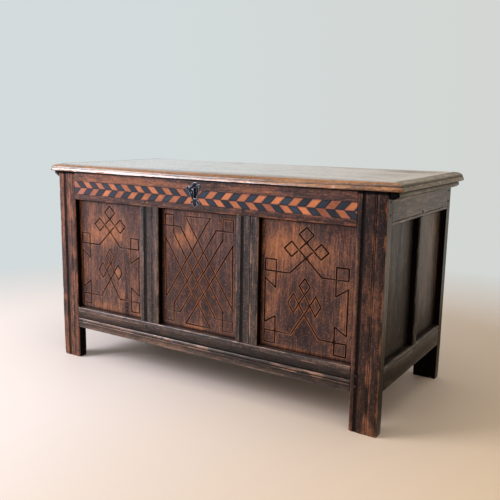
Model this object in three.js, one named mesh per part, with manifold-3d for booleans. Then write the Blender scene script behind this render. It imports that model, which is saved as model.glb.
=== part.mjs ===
import * as THREE from 'three';
import { mergeVertices } from 'three/addons/utils/BufferGeometryUtils.js';
import Module from 'manifold-3d';

// An old joined oak coffer. Four corner stiles run down to the floor as feet, and the front, back
// and two sides are walls of rails, muntins and panels, tenoned and grooved into each other.
// A moulded lid plank with a cleat under each end turns on two iron strap hinges, and an iron
// lock inside the front's top rail takes a staple that hangs from the lid.
// Millimetres, +Z up. The front faces -Y, and the feet stand on Z = 0.

const wasm = await Module();
wasm.setup();

// Driving sizes of the carcass. Its left and right are those of someone who faces the front.
const fit = 0.3;
const overrun = 5;
const carcass = { width: 1125, depth: 522, height: 620.3 };
const stile = { thick: 32, frontLeft: 70.5, frontRight: 77.5, rear: 72 };
const rail = { thick: 30, arris: 1.5 };
const groove = { setback: 17, width: 8, depth: 9 };
const tenon = { shoulder: 12, intoWidth: 36, intoThickness: 24, muntin: 22 };
const panel = { thick: 12, play: 1, margin: 2, feather: 28 };
const floor = { thick: 12, abovePlinth: 14, groove: 8, boards: 5 };

// The long walls are the front and the back, the short ones the sides. A rise is the height of
// the lower rail's under edge above the ground.
const longWall = { topRail: 89, lowRail: 70, rise: 104, muntin: 71 };
const longMuntinShares = [0.319, 0.676];
const shortWall = { topRail: 83.5, lowRail: 64, rise: 112.5, muntin: 26 };
const shortMuntinShares = [0.506];

// Mouldings scratched along the front: a hollow channel and a bead between two quirks on each
// upright, and a sunk fascia over a half round on the lower rail.
const scratch = { channelDepth: 3, beadDepth: 1.6, quirk: 1, segments: 6 };
const mouldShares = {
  stileLeft: { channel: [0.29, 0.47], bead: [0.69, 0.77] },
  stileRight: { channel: [0.15, 0.29], bead: [0.58, 0.67] },
  muntinLeft: { channel: [0.2, 0.4], bead: [0.63, 0.71] },
  muntinRight: { channel: [0.2, 0.37], bead: [0.63, 0.74] },
};
const plinth = { arris: 2.5, sunk: 2, quirk: 1.5, round: 9, fillet: 3 };
const plinthShares = { fasciaTop: 0.81, fasciaLow: 0.48 };

// The inlaid band in the front's top rail: two strips let in flush, one each side of the lock.
const inlay = { height: 42, thick: 2, below: 29.3, gapAtLock: 24 };

const lid = { thick: 23, side: 37, front: 7, rearInset: 3, rearRise: 3 };
// The lid's moulding, from its underside up: a nose that is undercut, a small step and a broad
// thumbnail. Insets are measured from the nose's tip, and heights from the underside.
const lidMould = { undercut: 10, tip: 7, nose: 12, lip: 3.6, step: 1, inset: 26 };
const lidFacets = { nose: 4, crown: 5 };
const cleat = { wide: 23, top: 20, belly: 6, deep: 18, gap: 1.5, setIn: 4 };
const cleatChamfer = { left: { wide: 19, rise: 11 }, right: { wide: 13, rise: 7 } };

const hinge = { spacing: 680, width: 34, thick: 3, barrel: 5.5, pin: 2.7, pinHead: 1.5, segments: 24 };
const strap = { length: 205, neck: 15, endRadius: 12, drop: 76 };

// The lock. Its heights are measured down from the top of the rail that holds it.
const lock = { x: -7.5, pocketDepth: 14, pocketHalf: 50, pocketHeight: 60, roof: 6.3 };
const keyhole = { width: 7.5, head: 9.5, height: 31, below: 22.3, segments: 10 };
const lockPlate = { thick: 2, margin: 7 };
const bolt = { thick: 6, height: 9, below: 10.6, length: 68, ahead: 24, travel: 12 };
const talon = { wide: 8, deep: 3.5 };
const guide = { wide: 6, wall: 1.8, slack: 0.4, tailAt: -30, noseAt: 12 };
const spring = { length: 30, thick: 1.2, wide: 6, rise: 2.4, segments: 8 };
const staple = { at: 30, thick: 5, wall: 2.3, slack: 0.8, base: 40, baseWide: 22, plate: 2 };
const escutcheon = { width: 50, height: 70, thick: 1.5, below: 11.8, segments: 4 };
// Half of the escutcheon's outline from its crest to its point, as shares of half its width and
// of its height from the point up. Each row is one sweep of the edge between two cusps.
const escutcheonShares = [
  [[0, 1], [0.2, 1.0], [0.36, 0.93]],
  [[0.36, 0.93], [0.6, 0.93], [0.86, 0.96], [1, 0.87], [0.9, 0.8], [0.76, 0.83]],
  [[0.76, 0.83], [0.66, 0.72], [0.6, 0.55], [0.42, 0.4]],
  [[0.42, 0.4], [0.58, 0.33], [0.6, 0.24], [0.48, 0.19], [0.36, 0.22]],
  [[0.36, 0.22], [0.22, 0.12], [0, 0]],
];

const finish = {
  frame: new THREE.MeshStandardMaterial({ color: '#5b4334', roughness: 0.5, metalness: 0 }),
  panel: new THREE.MeshStandardMaterial({ color: '#6f4a34', roughness: 0.55, metalness: 0 }),
  inside: new THREE.MeshStandardMaterial({ color: '#6a5442', roughness: 0.8, metalness: 0 }),
  lid: new THREE.MeshStandardMaterial({ color: '#6b4a33', roughness: 0.35, metalness: 0 }),
  inlay: new THREE.MeshStandardMaterial({ color: '#b9744b', roughness: 0.5, metalness: 0 }),
  iron: new THREE.MeshStandardMaterial({ color: '#2c2b2b', roughness: 0.6, metalness: 0.8 }),
};

// Values that follow from the sizes above.
const half = { width: carcass.width / 2, depth: carcass.depth / 2 };
const front = -half.depth;
const lidUnder = carcass.height + fit;
const barrelAt = { y: half.depth + fit + hinge.barrel, z: lidUnder + hinge.thick - hinge.barrel };
const reach = { front: lid.front, rear: barrelAt.y + hinge.barrel - half.depth };
const boltLow = carcass.height - bolt.below - bolt.height;
const pocketMiddle = front + rail.thick - lock.pocketDepth / 2;

// Geometry helpers.
const ALONG_X = new THREE.Matrix4().makeBasis(
  new THREE.Vector3(0, 1, 0), new THREE.Vector3(0, 0, 1), new THREE.Vector3(1, 0, 0));
const TOWARDS_FRONT = new THREE.Matrix4().makeBasis(
  new THREE.Vector3(1, 0, 0), new THREE.Vector3(0, 0, 1), new THREE.Vector3(0, -1, 0));

// A box from its low corner to its high corner.
function block(low, high) {
  const size = high.map((value, axis) => value - low[axis]);
  const middle = high.map((value, axis) => (value + low[axis]) / 2);
  return new THREE.BoxGeometry(...size).translate(...middle);
}

function extrude(shape, length, segments = scratch.segments) {
  return new THREE.ExtrudeGeometry(shape, { depth: length, bevelEnabled: false, curveSegments: segments });
}

// A section drawn in depth and height, run along X from the given place.
function runAlongX(shape, from, to) {
  return extrude(shape, to - from).applyMatrix4(ALONG_X).translate(from, 0, 0);
}

// An outline drawn in X and height, given a thickness from the plane y = rear towards the front.
function plateFacingFront(shape, rear, thick, segments) {
  return extrude(shape, thick, segments).applyMatrix4(TOWARDS_FRONT).translate(0, rear, 0);
}

// A cylinder that lies along X.
function rod(radius, from, to, y, z) {
  const geometry = new THREE.CylinderGeometry(radius, radius, to - from, hinge.segments);
  return geometry.rotateZ(Math.PI / 2).translate((from + to) / 2, y, z);
}

// A closed skin over a row of rings that all have four corners, anticlockwise as seen from the
// last ring looking back.
function skin(rings) {
  const positions = rings.flat(2);
  const index = [0, 2, 1, 0, 3, 2];
  for (let ring = 1; ring < rings.length; ring += 1) {
    for (let corner = 0; corner < 4; corner += 1) {
      const a = (ring - 1) * 4 + corner;
      const b = (ring - 1) * 4 + ((corner + 1) % 4);
      index.push(a, b, b + 4, a, b + 4, a + 4);
    }
  }
  const top = (rings.length - 1) * 4;
  index.push(top, top + 1, top + 2, top, top + 2, top + 3);
  const geometry = new THREE.BufferGeometry();
  geometry.setAttribute('position', new THREE.Float32BufferAttribute(positions, 3));
  geometry.setIndex(index);
  return geometry;
}

function toSolid(geometry) {
  const bare = geometry.clone();
  bare.deleteAttribute('normal');
  bare.deleteAttribute('uv');
  const merged = mergeVertices(bare);
  return new wasm.Manifold(new wasm.Mesh({
    numProp: 3,
    vertProperties: new Float32Array(merged.attributes.position.array),
    triVerts: new Uint32Array(merged.index.array),
  }));
}

function toGeometry(solid) {
  const mesh = solid.getMesh();
  const geometry = new THREE.BufferGeometry();
  geometry.setAttribute('position', new THREE.BufferAttribute(mesh.vertProperties, 3));
  geometry.setIndex(new THREE.BufferAttribute(mesh.triVerts, 1));
  return geometry;
}

function cut(geometry, tools) {
  return toGeometry(tools.reduce((solid, tool) => solid.subtract(toSolid(tool)), toSolid(geometry)));
}

function join(geometries) {
  const [first, ...others] = geometries.map(toSolid);
  return toGeometry(others.reduce((solid, other) => solid.add(other), first));
}

function piece(name, geometry, material) {
  const flat = geometry.index ? geometry.toNonIndexed() : geometry;
  flat.computeVertexNormals();
  const mesh = new THREE.Mesh(flat, material.clone());
  mesh.name = name;
  return mesh;
}

// Sections. Depth runs inward from the outer face.

// The front of an upright with its channel and bead, over a plain back.
function mouldedUpright(width, thick, shares) {
  const [channelFrom, channelTo] = shares.channel.map((share) => share * width);
  const [beadFrom, beadTo] = shares.bead.map((share) => share * width);
  const beadMiddle = (beadFrom + beadTo) / 2;
  const beadHalf = (beadTo - beadFrom) / 2 - scratch.quirk;
  const shape = new THREE.Shape();
  shape.moveTo(0, thick);
  shape.lineTo(0, rail.arris);
  shape.lineTo(rail.arris, 0);
  shape.lineTo(channelFrom, 0);
  shape.absellipse((channelFrom + channelTo) / 2, 0, (channelTo - channelFrom) / 2, scratch.channelDepth,
    Math.PI, 0, true);
  shape.lineTo(beadFrom, 0);
  shape.lineTo(beadFrom + scratch.quirk, scratch.beadDepth);
  shape.absellipse(beadMiddle, scratch.beadDepth, beadHalf, scratch.beadDepth, Math.PI, 2 * Math.PI, false);
  shape.lineTo(beadTo, 0);
  shape.lineTo(width - rail.arris, 0);
  shape.lineTo(width, rail.arris);
  shape.lineTo(width, thick);
  shape.closePath();
  return shape;
}

function plainUpright(width, thick) {
  const shape = new THREE.Shape();
  shape.moveTo(0, thick);
  shape.lineTo(0, rail.arris);
  shape.lineTo(rail.arris, 0);
  shape.lineTo(width - rail.arris, 0);
  shape.lineTo(width, rail.arris);
  shape.lineTo(width, thick);
  shape.closePath();
  return shape;
}

// A rail's section from its under edge up, with a chamfer along the edges named.
function plainRail(low, high, arrisLow, arrisHigh) {
  const shape = new THREE.Shape();
  shape.moveTo(rail.thick, low);
  shape.lineTo(rail.thick, high);
  shape.lineTo(arrisHigh, high);
  shape.lineTo(0, high - arrisHigh);
  shape.lineTo(0, low + arrisLow);
  shape.lineTo(arrisLow, low);
  shape.closePath();
  return shape;
}

// The front's lower rail: a flat under the top edge, a sunk fascia, a half round that stands out
// to the face again, a fillet and a sunk lower member with a rounded under edge.
function plinthRail(low, high) {
  const height = high - low;
  const fasciaTop = low + plinthShares.fasciaTop * height;
  const roundTop = low + plinthShares.fasciaLow * height;
  const roundLow = roundTop - plinth.round;
  const shape = new THREE.Shape();
  shape.moveTo(rail.thick, low);
  shape.lineTo(rail.thick, high);
  shape.lineTo(plinth.arris, high);
  shape.lineTo(0, high - plinth.arris);
  shape.lineTo(0, fasciaTop);
  shape.lineTo(plinth.sunk, fasciaTop - plinth.quirk);
  shape.lineTo(plinth.sunk, roundTop + plinth.quirk);
  shape.lineTo(plinth.sunk + plinth.quirk, roundTop);
  shape.absellipse(plinth.sunk + plinth.quirk, (roundTop + roundLow) / 2, plinth.sunk + plinth.quirk,
    plinth.round / 2, Math.PI / 2, 1.5 * Math.PI, false);
  shape.lineTo(plinth.quirk, roundLow - plinth.quirk);
  shape.lineTo(plinth.quirk, roundLow - plinth.fillet);
  shape.lineTo(plinth.sunk, roundLow - plinth.fillet - plinth.quirk);
  shape.lineTo(plinth.sunk, low + plinth.arris);
  shape.lineTo(plinth.sunk + plinth.arris, low);
  shape.closePath();
  return shape;
}

// Walls. Each is built as if it faced -Y with its outer face on y = 0 and its depth along +Y, and is
// then turned to its side of the coffer. A span is the clear width between the two stiles.

function wallPlan(wall, span, shares, tenonLength) {
  const width = span[1] - span[0];
  const rows = { low: wall.rise, lowTop: wall.rise + wall.lowRail, topLow: carcass.height - wall.topRail };
  const muntins = shares.map((share) => {
    const middle = span[0] + share * width;
    return [middle - wall.muntin / 2, middle + wall.muntin / 2];
  });
  const edges = [span[0], ...muntins.flat(), span[1]];
  const bays = [];
  for (let bay = 0; bay < edges.length; bay += 2) bays.push([edges[bay], edges[bay + 1]]);
  return { span, rows, muntins, bays, tenonLength };
}

const tongue = { from: groove.setback + fit, to: groove.setback + groove.width - fit };

// A rail with a tenon at each end, a panel groove along one edge and mortises for the muntins.
function wallRail(plan, low, high, section, grooveAt) {
  const ends = [plan.span[0] + fit, plan.span[1] - fit];
  const body = runAlongX(section, ends[0], ends[1]);
  const tenons = block(
    [plan.span[0] - plan.tenonLength + fit, tongue.from, low + tenon.shoulder],
    [plan.span[1] + plan.tenonLength - fit, tongue.to, high - tenon.shoulder]);
  const mouth = grooveAt === low ? -1 : 1;
  const edgeRange = (depth) => [grooveAt - mouth * depth, grooveAt + mouth * overrun].sort((a, b) => a - b);
  const grooveRange = edgeRange(groove.depth);
  const channel = block(
    [ends[0] - overrun, groove.setback, grooveRange[0]],
    [ends[1] + overrun, groove.setback + groove.width, grooveRange[1]]);
  const mortiseRange = edgeRange(tenon.muntin + fit);
  const mortises = plan.muntins.map(([left, right]) => block(
    [left, groove.setback, mortiseRange[0]],
    [right, groove.setback + groove.width, mortiseRange[1]]));
  return cut(join([body, tenons]), [channel, ...mortises]);
}

// A muntin with a tenon at each end, grooved down both sides for the panels.
function wallMuntin(plan, [left, right], section) {
  const { lowTop, topLow } = plan.rows;
  const body = extrude(section, topLow - lowTop - 2 * fit).translate(left, 0, lowTop + fit);
  const inset = Math.min(groove.depth, (right - left) / 4);
  const tenons = block(
    [left + fit, tongue.from, lowTop - tenon.muntin + fit],
    [right - fit, tongue.to, topLow + tenon.muntin - fit]);
  const channels = [[left - overrun, left + inset], [right - inset, right + overrun]].map(([from, to]) => block(
    [from, groove.setback, lowTop - tenon.muntin - overrun],
    [to, groove.setback + groove.width, topLow + tenon.muntin + overrun]));
  return cut(join([body, tenons]), channels);
}

// How far a panel may run into a wall's muntin, stile or rail.
function grooveDepthBeside(plan, edge) {
  const muntin = plan.muntins.find((sides) => sides.includes(edge));
  return muntin ? Math.min(groove.depth, (muntin[1] - muntin[0]) / 4) : groove.depth;
}

// A panel, flat outside and feathered along the inside of its edges to fit the grooves.
function wallPanel(plan, [left, right]) {
  const { lowTop, topLow } = plan.rows;
  const bounds = {
    left: left - grooveDepthBeside(plan, left) + panel.play,
    right: right + grooveDepthBeside(plan, right) - panel.play,
    low: lowTop - groove.depth + panel.play,
    high: topLow + groove.depth - panel.play,
  };
  const ring = (inset, depth) => [
    [bounds.left + inset, depth, bounds.low + inset],
    [bounds.left + inset, depth, bounds.high - inset],
    [bounds.right - inset, depth, bounds.high - inset],
    [bounds.right - inset, depth, bounds.low + inset],
  ];
  const margin = groove.depth + panel.margin;
  return skin([
    ring(0, tongue.from),
    ring(0, tongue.to),
    ring(margin, tongue.to),
    ring(margin + panel.feather, tongue.from + panel.thick),
  ]);
}

// What a wall's tenons and panels take out of the stiles at its two ends.
function stileSockets(plan) {
  const { low, lowTop, topLow } = plan.rows;
  const depths = [groove.setback, groove.setback + groove.width];
  const mortise = (from, to) => block(
    [plan.span[0] - plan.tenonLength, depths[0], from + tenon.shoulder - fit],
    [plan.span[1] + plan.tenonLength, depths[1], to - tenon.shoulder + fit]);
  const channel = block(
    [plan.span[0] - groove.depth, depths[0], lowTop - groove.depth],
    [plan.span[1] + groove.depth, depths[1], topLow + groove.depth]);
  return [mortise(low, lowTop), mortise(topLow, carcass.height), channel];
}

// A wall's own pieces. The looks say how its rails and uprights are cut.
function buildWall(prefix, plan, looks) {
  const { low, lowTop, topLow } = plan.rows;
  const group = new THREE.Group();
  const topRail = wallRail(plan, topLow, carcass.height, looks.topRail(topLow), topLow);
  const lowRail = wallRail(plan, low, lowTop, looks.lowRail(low, lowTop), lowTop);
  group.add(piece(`${prefix}_rail_top`, looks.finishTopRail(topRail), finish.frame));
  group.add(piece(`${prefix}_rail_bottom`, looks.finishLowRail(lowRail), finish.frame));
  plan.muntins.forEach((sides, i) => {
    const section = looks.muntin(i, sides[1] - sides[0]);
    group.add(piece(`${prefix}_muntin${looks.muntinNames[i]}`, wallMuntin(plan, sides, section), finish.frame));
  });
  plan.bays.forEach((bay, i) => {
    group.add(piece(`${prefix}_panel_${looks.panelNames[i]}`, wallPanel(plan, bay), finish.panel));
  });
  return group;
}

// Where each wall stands: the turn about Z and the place of its outer face.
const sides = {
  front: { turn: 0, at: [0, front] },
  right: { turn: Math.PI / 2, at: [half.width, 0] },
  back: { turn: Math.PI, at: [0, half.depth] },
  left: { turn: -Math.PI / 2, at: [-half.width, 0] },
};
for (const side of Object.values(sides)) {
  side.matrix = new THREE.Matrix4().makeRotationZ(side.turn).setPosition(...side.at, 0);
}

const plans = {
  front: wallPlan(longWall, [-half.width + stile.frontLeft, half.width - stile.frontRight],
    longMuntinShares, tenon.intoWidth),
  back: wallPlan(longWall, [-half.width + stile.rear, half.width - stile.rear],
    longMuntinShares.map((share) => 1 - share).reverse(), tenon.intoWidth),
  right: wallPlan(shortWall, [-half.depth + stile.thick, half.depth - stile.thick],
    shortMuntinShares, tenon.intoThickness),
  left: wallPlan(shortWall, [-half.depth + stile.thick, half.depth - stile.thick],
    shortMuntinShares.map((share) => 1 - share), tenon.intoThickness),
};

function placedWall(name, prefix, looks) {
  const group = buildWall(prefix, plans[name], looks);
  group.rotation.z = sides[name].turn;
  group.position.set(...sides[name].at, 0);
  return group;
}

// The groove in a long wall's lower rail that the floor boards' ends lie in.
function floorGroove(plan) {
  const low = plan.rows.low + floor.abovePlinth;
  return block(
    [plan.span[0] + fit, rail.thick - floor.groove, low],
    [plan.span[1] - fit, rail.thick + overrun, low + floor.thick + 2 * fit]);
}

const plainLooks = {
  topRail: (low) => plainRail(low, carcass.height, rail.arris, 0),
  lowRail: (low, high) => plainRail(low, high, 0, rail.arris),
  muntin: (i, width) => plainUpright(width, rail.thick),
  finishTopRail: (geometry) => geometry,
  finishLowRail: (geometry) => geometry,
  muntinNames: [''],
};

const backLooks = {
  ...plainLooks,
  finishLowRail: (geometry) => cut(geometry, [floorGroove(plans.back)]),
  muntinNames: ['_right', '_left'],
  panelNames: ['right', 'middle', 'left'],
};

// The front's top rail also takes the inlay, the keyhole, the lock's pocket and the staple's slot.
const inlayRange = {
  low: carcass.height - inlay.below - inlay.height,
  high: carcass.height - inlay.below,
};
const inlaySpans = [
  [plans.front.span[0] + fit, lock.x - inlay.gapAtLock / 2],
  [lock.x + inlay.gapAtLock / 2, plans.front.span[1] - fit],
];

function keyholeOutline(Path) {
  const top = carcass.height - keyhole.below;
  const headMiddle = top - keyhole.head / 2;
  const slot = keyhole.width / 2;
  const lean = Math.asin(keyhole.width / keyhole.head);
  const path = new Path();
  path.moveTo(lock.x - slot, top - keyhole.height);
  path.lineTo(lock.x + slot, top - keyhole.height);
  path.absarc(lock.x, headMiddle, keyhole.head / 2, -Math.PI / 2 + lean, 1.5 * Math.PI - lean, false);
  path.closePath();
  return path;
}

function frontRailTools() {
  const pocketTop = carcass.height - lock.roof;
  const pocketFront = rail.thick - lock.pocketDepth;
  const pocket = block(
    [lock.x - lock.pocketHalf, pocketFront, pocketTop - lock.pocketHeight],
    [lock.x + lock.pocketHalf, rail.thick + overrun, pocketTop]);
  const slotHalf = staple.thick / 2 + staple.slack;
  const slot = block(
    [lock.x + staple.at - slotHalf, pocketFront, pocketTop - overrun],
    [lock.x + staple.at + slotHalf, rail.thick + overrun, carcass.height + overrun]);
  const hole = plateFacingFront(keyholeOutline(THREE.Shape), rail.thick + overrun, rail.thick + 2 * overrun,
    keyhole.segments);
  const bandWays = [
    [inlaySpans[0][0] - overrun, inlaySpans[0][1] + fit],
    [inlaySpans[1][0] - fit, inlaySpans[1][1] + overrun],
  ];
  const bands = bandWays.map(([from, to]) => block(
    [from, -overrun, inlayRange.low], [to, inlay.thick + fit, inlayRange.high]));
  return [pocket, slot, hole, ...bands];
}

const frontLooks = {
  topRail: (low) => plainRail(low, carcass.height, rail.arris, 0),
  lowRail: plinthRail,
  muntin: (i, width) => mouldedUpright(width, rail.thick, [mouldShares.muntinLeft, mouldShares.muntinRight][i]),
  finishTopRail: (geometry) => cut(geometry, frontRailTools()),
  finishLowRail: (geometry) => cut(geometry, [floorGroove(plans.front)]),
  muntinNames: ['_left', '_right'],
  panelNames: ['left', 'middle', 'right'],
};

// The four stiles, each cut for the two walls that meet in it.
function buildStile(name, left, width, rearFace, wallNames, shares) {
  const section = shares ? mouldedUpright(width, stile.thick, shares) : plainUpright(width, stile.thick);
  const post = extrude(section, carcass.height).translate(left, 0, 0);
  if (rearFace) post.rotateZ(Math.PI).translate(0, half.depth, 0);
  else post.translate(0, front, 0);
  const tools = wallNames.flatMap((wall) =>
    stileSockets(plans[wall]).map((tool) => tool.applyMatrix4(sides[wall].matrix)));
  return piece(name, cut(post, tools), finish.frame);
}

function buildStiles() {
  const group = new THREE.Group();
  group.add(buildStile('front_stile_left', -half.width, stile.frontLeft, false, ['front', 'left'],
    mouldShares.stileLeft));
  group.add(buildStile('front_stile_right', half.width - stile.frontRight, stile.frontRight, false,
    ['front', 'right'], mouldShares.stileRight));
  group.add(buildStile('rear_stile_left', half.width - stile.rear, stile.rear, true, ['back', 'left']));
  group.add(buildStile('rear_stile_right', -half.width, stile.rear, true, ['back', 'right']));
  return group;
}

// Floor boards that run from front to back, notched round the stiles at the corners.
function buildFloor() {
  const group = new THREE.Group();
  const left = -half.width + rail.thick + fit;
  const width = (-2 * left - (floor.boards - 1) * fit) / floor.boards;
  const low = longWall.rise + floor.abovePlinth + fit;
  const end = half.depth - rail.thick + floor.groove - fit;
  const inner = half.depth - stile.thick - fit;
  const corner = (x, toX, y, toY) => block([x, y, low - overrun], [toX, toY, low + floor.thick + overrun]);
  const notches = [
    corner(-half.width, -half.width + stile.frontLeft + fit, -half.depth, -inner),
    corner(half.width - stile.frontRight - fit, half.width, -half.depth, -inner),
    corner(-half.width, -half.width + stile.rear + fit, inner, half.depth),
    corner(half.width - stile.rear - fit, half.width, inner, half.depth),
  ];
  for (let i = 0; i < floor.boards; i += 1) {
    const from = left + i * (width + fit);
    const board = block([from, -end, low], [from + width, end, low + floor.thick]);
    group.add(piece(`floor_board_${i + 1}`, cut(board, notches), finish.inside));
  }
  return group;
}

function buildInlay() {
  const group = new THREE.Group();
  inlaySpans.forEach(([from, to], i) => {
    const strip = block([from, front, inlayRange.low + fit], [to, front + inlay.thick, inlayRange.high - fit]);
    group.add(piece(['inlay_left', 'inlay_right'][i], strip, finish.inlay));
  });
  return group;
}

// The moulded edge, as insets from the nose's tip and heights above the lid's underside.
function lidEdge() {
  const under = new THREE.EllipseCurve(lidMould.undercut, lidMould.tip, lidMould.undercut, lidMould.tip,
    1.5 * Math.PI, Math.PI, true).getPoints(lidFacets.nose);
  const nose = new THREE.EllipseCurve(lidMould.lip, lidMould.tip, lidMould.lip, lidMould.nose - lidMould.tip,
    Math.PI, Math.PI / 2, true).getPoints(lidFacets.nose).slice(1);
  const crownLow = lidMould.nose + lidMould.step;
  const crownIn = lidMould.lip + lidMould.step;
  const crown = new THREE.EllipseCurve(lidMould.inset, crownLow, lidMould.inset - crownIn, lid.thick - crownLow,
    Math.PI, Math.PI / 2, true).getPoints(lidFacets.crown);
  return [...under, ...nose, ...crown];
}

// The plank: its edge moulding runs along the front and both ends, and the rear edge is square.
// Its upper side rises a little towards the rear.
function lidPlank() {
  const rear = half.depth - lid.rearInset;
  const side = half.width + lid.side;
  const rings = lidEdge().map(({ x: inset, y: height }) => {
    const rearHeight = height + lid.rearRise * (height / lid.thick);
    return [
      [-side + inset, front - lid.front + inset, lidUnder + height],
      [side - inset, front - lid.front + inset, lidUnder + height],
      [side - inset, rear, lidUnder + rearHeight],
      [-side + inset, rear, lidUnder + rearHeight],
    ];
  });
  return skin(rings);
}

// A cleat's section: its outer side swells to its full width and is chamfered below.
function cleatSection(chamfer) {
  const shape = new THREE.Shape();
  shape.moveTo(0, 0);
  shape.lineTo(0, -cleat.deep);
  shape.lineTo(cleat.wide - chamfer.wide, -cleat.deep);
  shape.lineTo(cleat.wide, -cleat.deep + chamfer.rise);
  shape.lineTo(cleat.wide, -cleat.belly);
  shape.lineTo(cleat.top, 0);
  shape.closePath();
  return shape;
}

function lidCleat(side) {
  const inner = half.width + cleat.gap;
  const rear = half.depth - lid.rearInset - cleat.setIn;
  const length = rear - (front + cleat.setIn);
  const bar = plateFacingFront(cleatSection(cleatChamfer[side]), rear, length);
  bar.translate(inner, 0, lidUnder - fit);
  return side === 'left' ? bar.rotateZ(Math.PI).translate(0, rear + (front + cleat.setIn), 0) : bar;
}

// Strap hinges. The leaf on the lid has the middle knuckle, the leaf on the back the outer two.

function strapOutline() {
  const neck = strap.neck / 2;
  const endMiddle = strap.length - strap.endRadius;
  const lean = Math.asin(neck / strap.endRadius);
  const shape = new THREE.Shape();
  shape.moveTo(-hinge.width / 2, 0);
  shape.lineTo(-hinge.width / 2, -hinge.width / 2);
  shape.quadraticCurveTo(-hinge.width / 2, -hinge.width, -neck, -hinge.width);
  shape.absarc(0, -endMiddle, strap.endRadius, Math.PI / 2 + lean, Math.PI / 2 - lean + 2 * Math.PI, false);
  shape.lineTo(neck, -hinge.width);
  shape.quadraticCurveTo(hinge.width / 2, -hinge.width, hinge.width / 2, -hinge.width / 2);
  shape.lineTo(hinge.width / 2, 0);
  shape.closePath();
  return shape;
}

// The outline grown by a clearance, for the housing in the lid.
function strapHousing(x) {
  const neck = strap.neck / 2 + fit;
  const wide = hinge.width / 2 + fit;
  const low = lidUnder - overrun;
  const deep = lidUnder + hinge.thick + fit;
  const end = barrelAt.y - (strap.length - strap.endRadius);
  const flare = barrelAt.y - hinge.width - fit;
  const round = new THREE.CylinderGeometry(strap.endRadius + fit, strap.endRadius + fit, deep - low, hinge.segments)
    .rotateX(Math.PI / 2).translate(x, end, (low + deep) / 2);
  return [
    block([x - neck, end, low], [x + neck, barrelAt.y, deep]),
    block([x - wide, flare, low], [x + wide, barrelAt.y + overrun, deep]),
    round,
  ];
}

const knuckle = hinge.width / 3;

function bore(x) {
  return rod(hinge.pin + fit, x - hinge.width, x + hinge.width, barrelAt.y, barrelAt.z);
}

function lidLeaf(x) {
  const plate = extrude(strapOutline(), hinge.thick - fit).translate(x, barrelAt.y, lidUnder + fit);
  const middle = rod(hinge.barrel, x - knuckle / 2 + fit, x + knuckle / 2 - fit, barrelAt.y, barrelAt.z);
  const clear = hinge.barrel + fit;
  const relief = [[-hinge.width, -knuckle / 2 + fit], [knuckle / 2 - fit, hinge.width]].map(([from, to]) =>
    rod(clear, x + from, x + to, barrelAt.y, barrelAt.z));
  return cut(join([plate, middle]), [bore(x), ...relief]);
}

function backLeafOutline() {
  const shape = new THREE.Shape();
  const wide = hinge.width / 2;
  shape.moveTo(-wide, 0);
  shape.lineTo(-wide, -strap.drop + hinge.width);
  shape.quadraticCurveTo(-wide, -strap.drop + wide, 0, -strap.drop);
  shape.quadraticCurveTo(wide, -strap.drop + wide, wide, -strap.drop + hinge.width);
  shape.lineTo(wide, 0);
  shape.closePath();
  return shape;
}

function backLeaf(x) {
  const face = half.depth + fit;
  const plate = plateFacingFront(backLeafOutline(), 0, hinge.thick).translate(x, face + hinge.thick, barrelAt.z);
  const outer = [[-hinge.width / 2, -knuckle / 2], [knuckle / 2, hinge.width / 2]].map(([from, to]) =>
    rod(hinge.barrel, x + from, x + to, barrelAt.y, barrelAt.z));
  const relief = rod(hinge.barrel + fit, x - knuckle / 2, x + knuckle / 2, barrelAt.y, barrelAt.z);
  return cut(join([plate, ...outer]), [bore(x), relief]);
}

function hingePin(x) {
  const end = hinge.width / 2 + fit;
  const heads = [-1, 1].map((hand) => {
    const ends = [hand * end, hand * (end + hinge.pinHead)].sort((a, b) => a - b);
    return rod(hinge.barrel - fit, x + ends[0], x + ends[1], barrelAt.y, barrelAt.z);
  });
  return join([rod(hinge.pin, x - end - fit, x + end + fit, barrelAt.y, barrelAt.z), ...heads]);
}

// The lock.

function buildLockPlate() {
  const outer = front + rail.thick + fit;
  const high = carcass.height - lock.roof + lockPlate.margin / 2;
  const low = carcass.height - lock.roof - lock.pocketHeight - lockPlate.margin;
  const wide = lock.pocketHalf + lockPlate.margin;
  const plate = block([lock.x - wide, outer, low], [lock.x + wide, outer + lockPlate.thick, high]);
  const opening = { y: bolt.thick / 2 + guide.slack, z: guide.slack };
  const guides = [guide.tailAt, guide.noseAt].map((at) => block(
    [lock.x + at - guide.wide / 2, pocketMiddle - opening.y - guide.wall, boltLow - opening.z - guide.wall],
    [lock.x + at + guide.wide / 2, outer + lockPlate.thick / 2, boltLow + bolt.height + opening.z + guide.wall]));
  const way = block(
    [lock.x - lock.pocketHalf, pocketMiddle - opening.y, boltLow - opening.z],
    [lock.x + lock.pocketHalf, pocketMiddle + opening.y, boltLow + bolt.height + opening.z]);
  return cut(join([plate, ...guides]), [way]);
}

function buildBolt() {
  const nose = lock.x + bolt.ahead;
  const bar = block([nose - bolt.length, pocketMiddle - bolt.thick / 2, boltLow],
    [nose, pocketMiddle + bolt.thick / 2, boltLow + bolt.height]);
  const notch = block([lock.x - talon.wide, pocketMiddle - bolt.thick, boltLow - overrun],
    [lock.x, pocketMiddle + bolt.thick, boltLow + talon.deep]);
  return cut(bar, [notch]);
}

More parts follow.
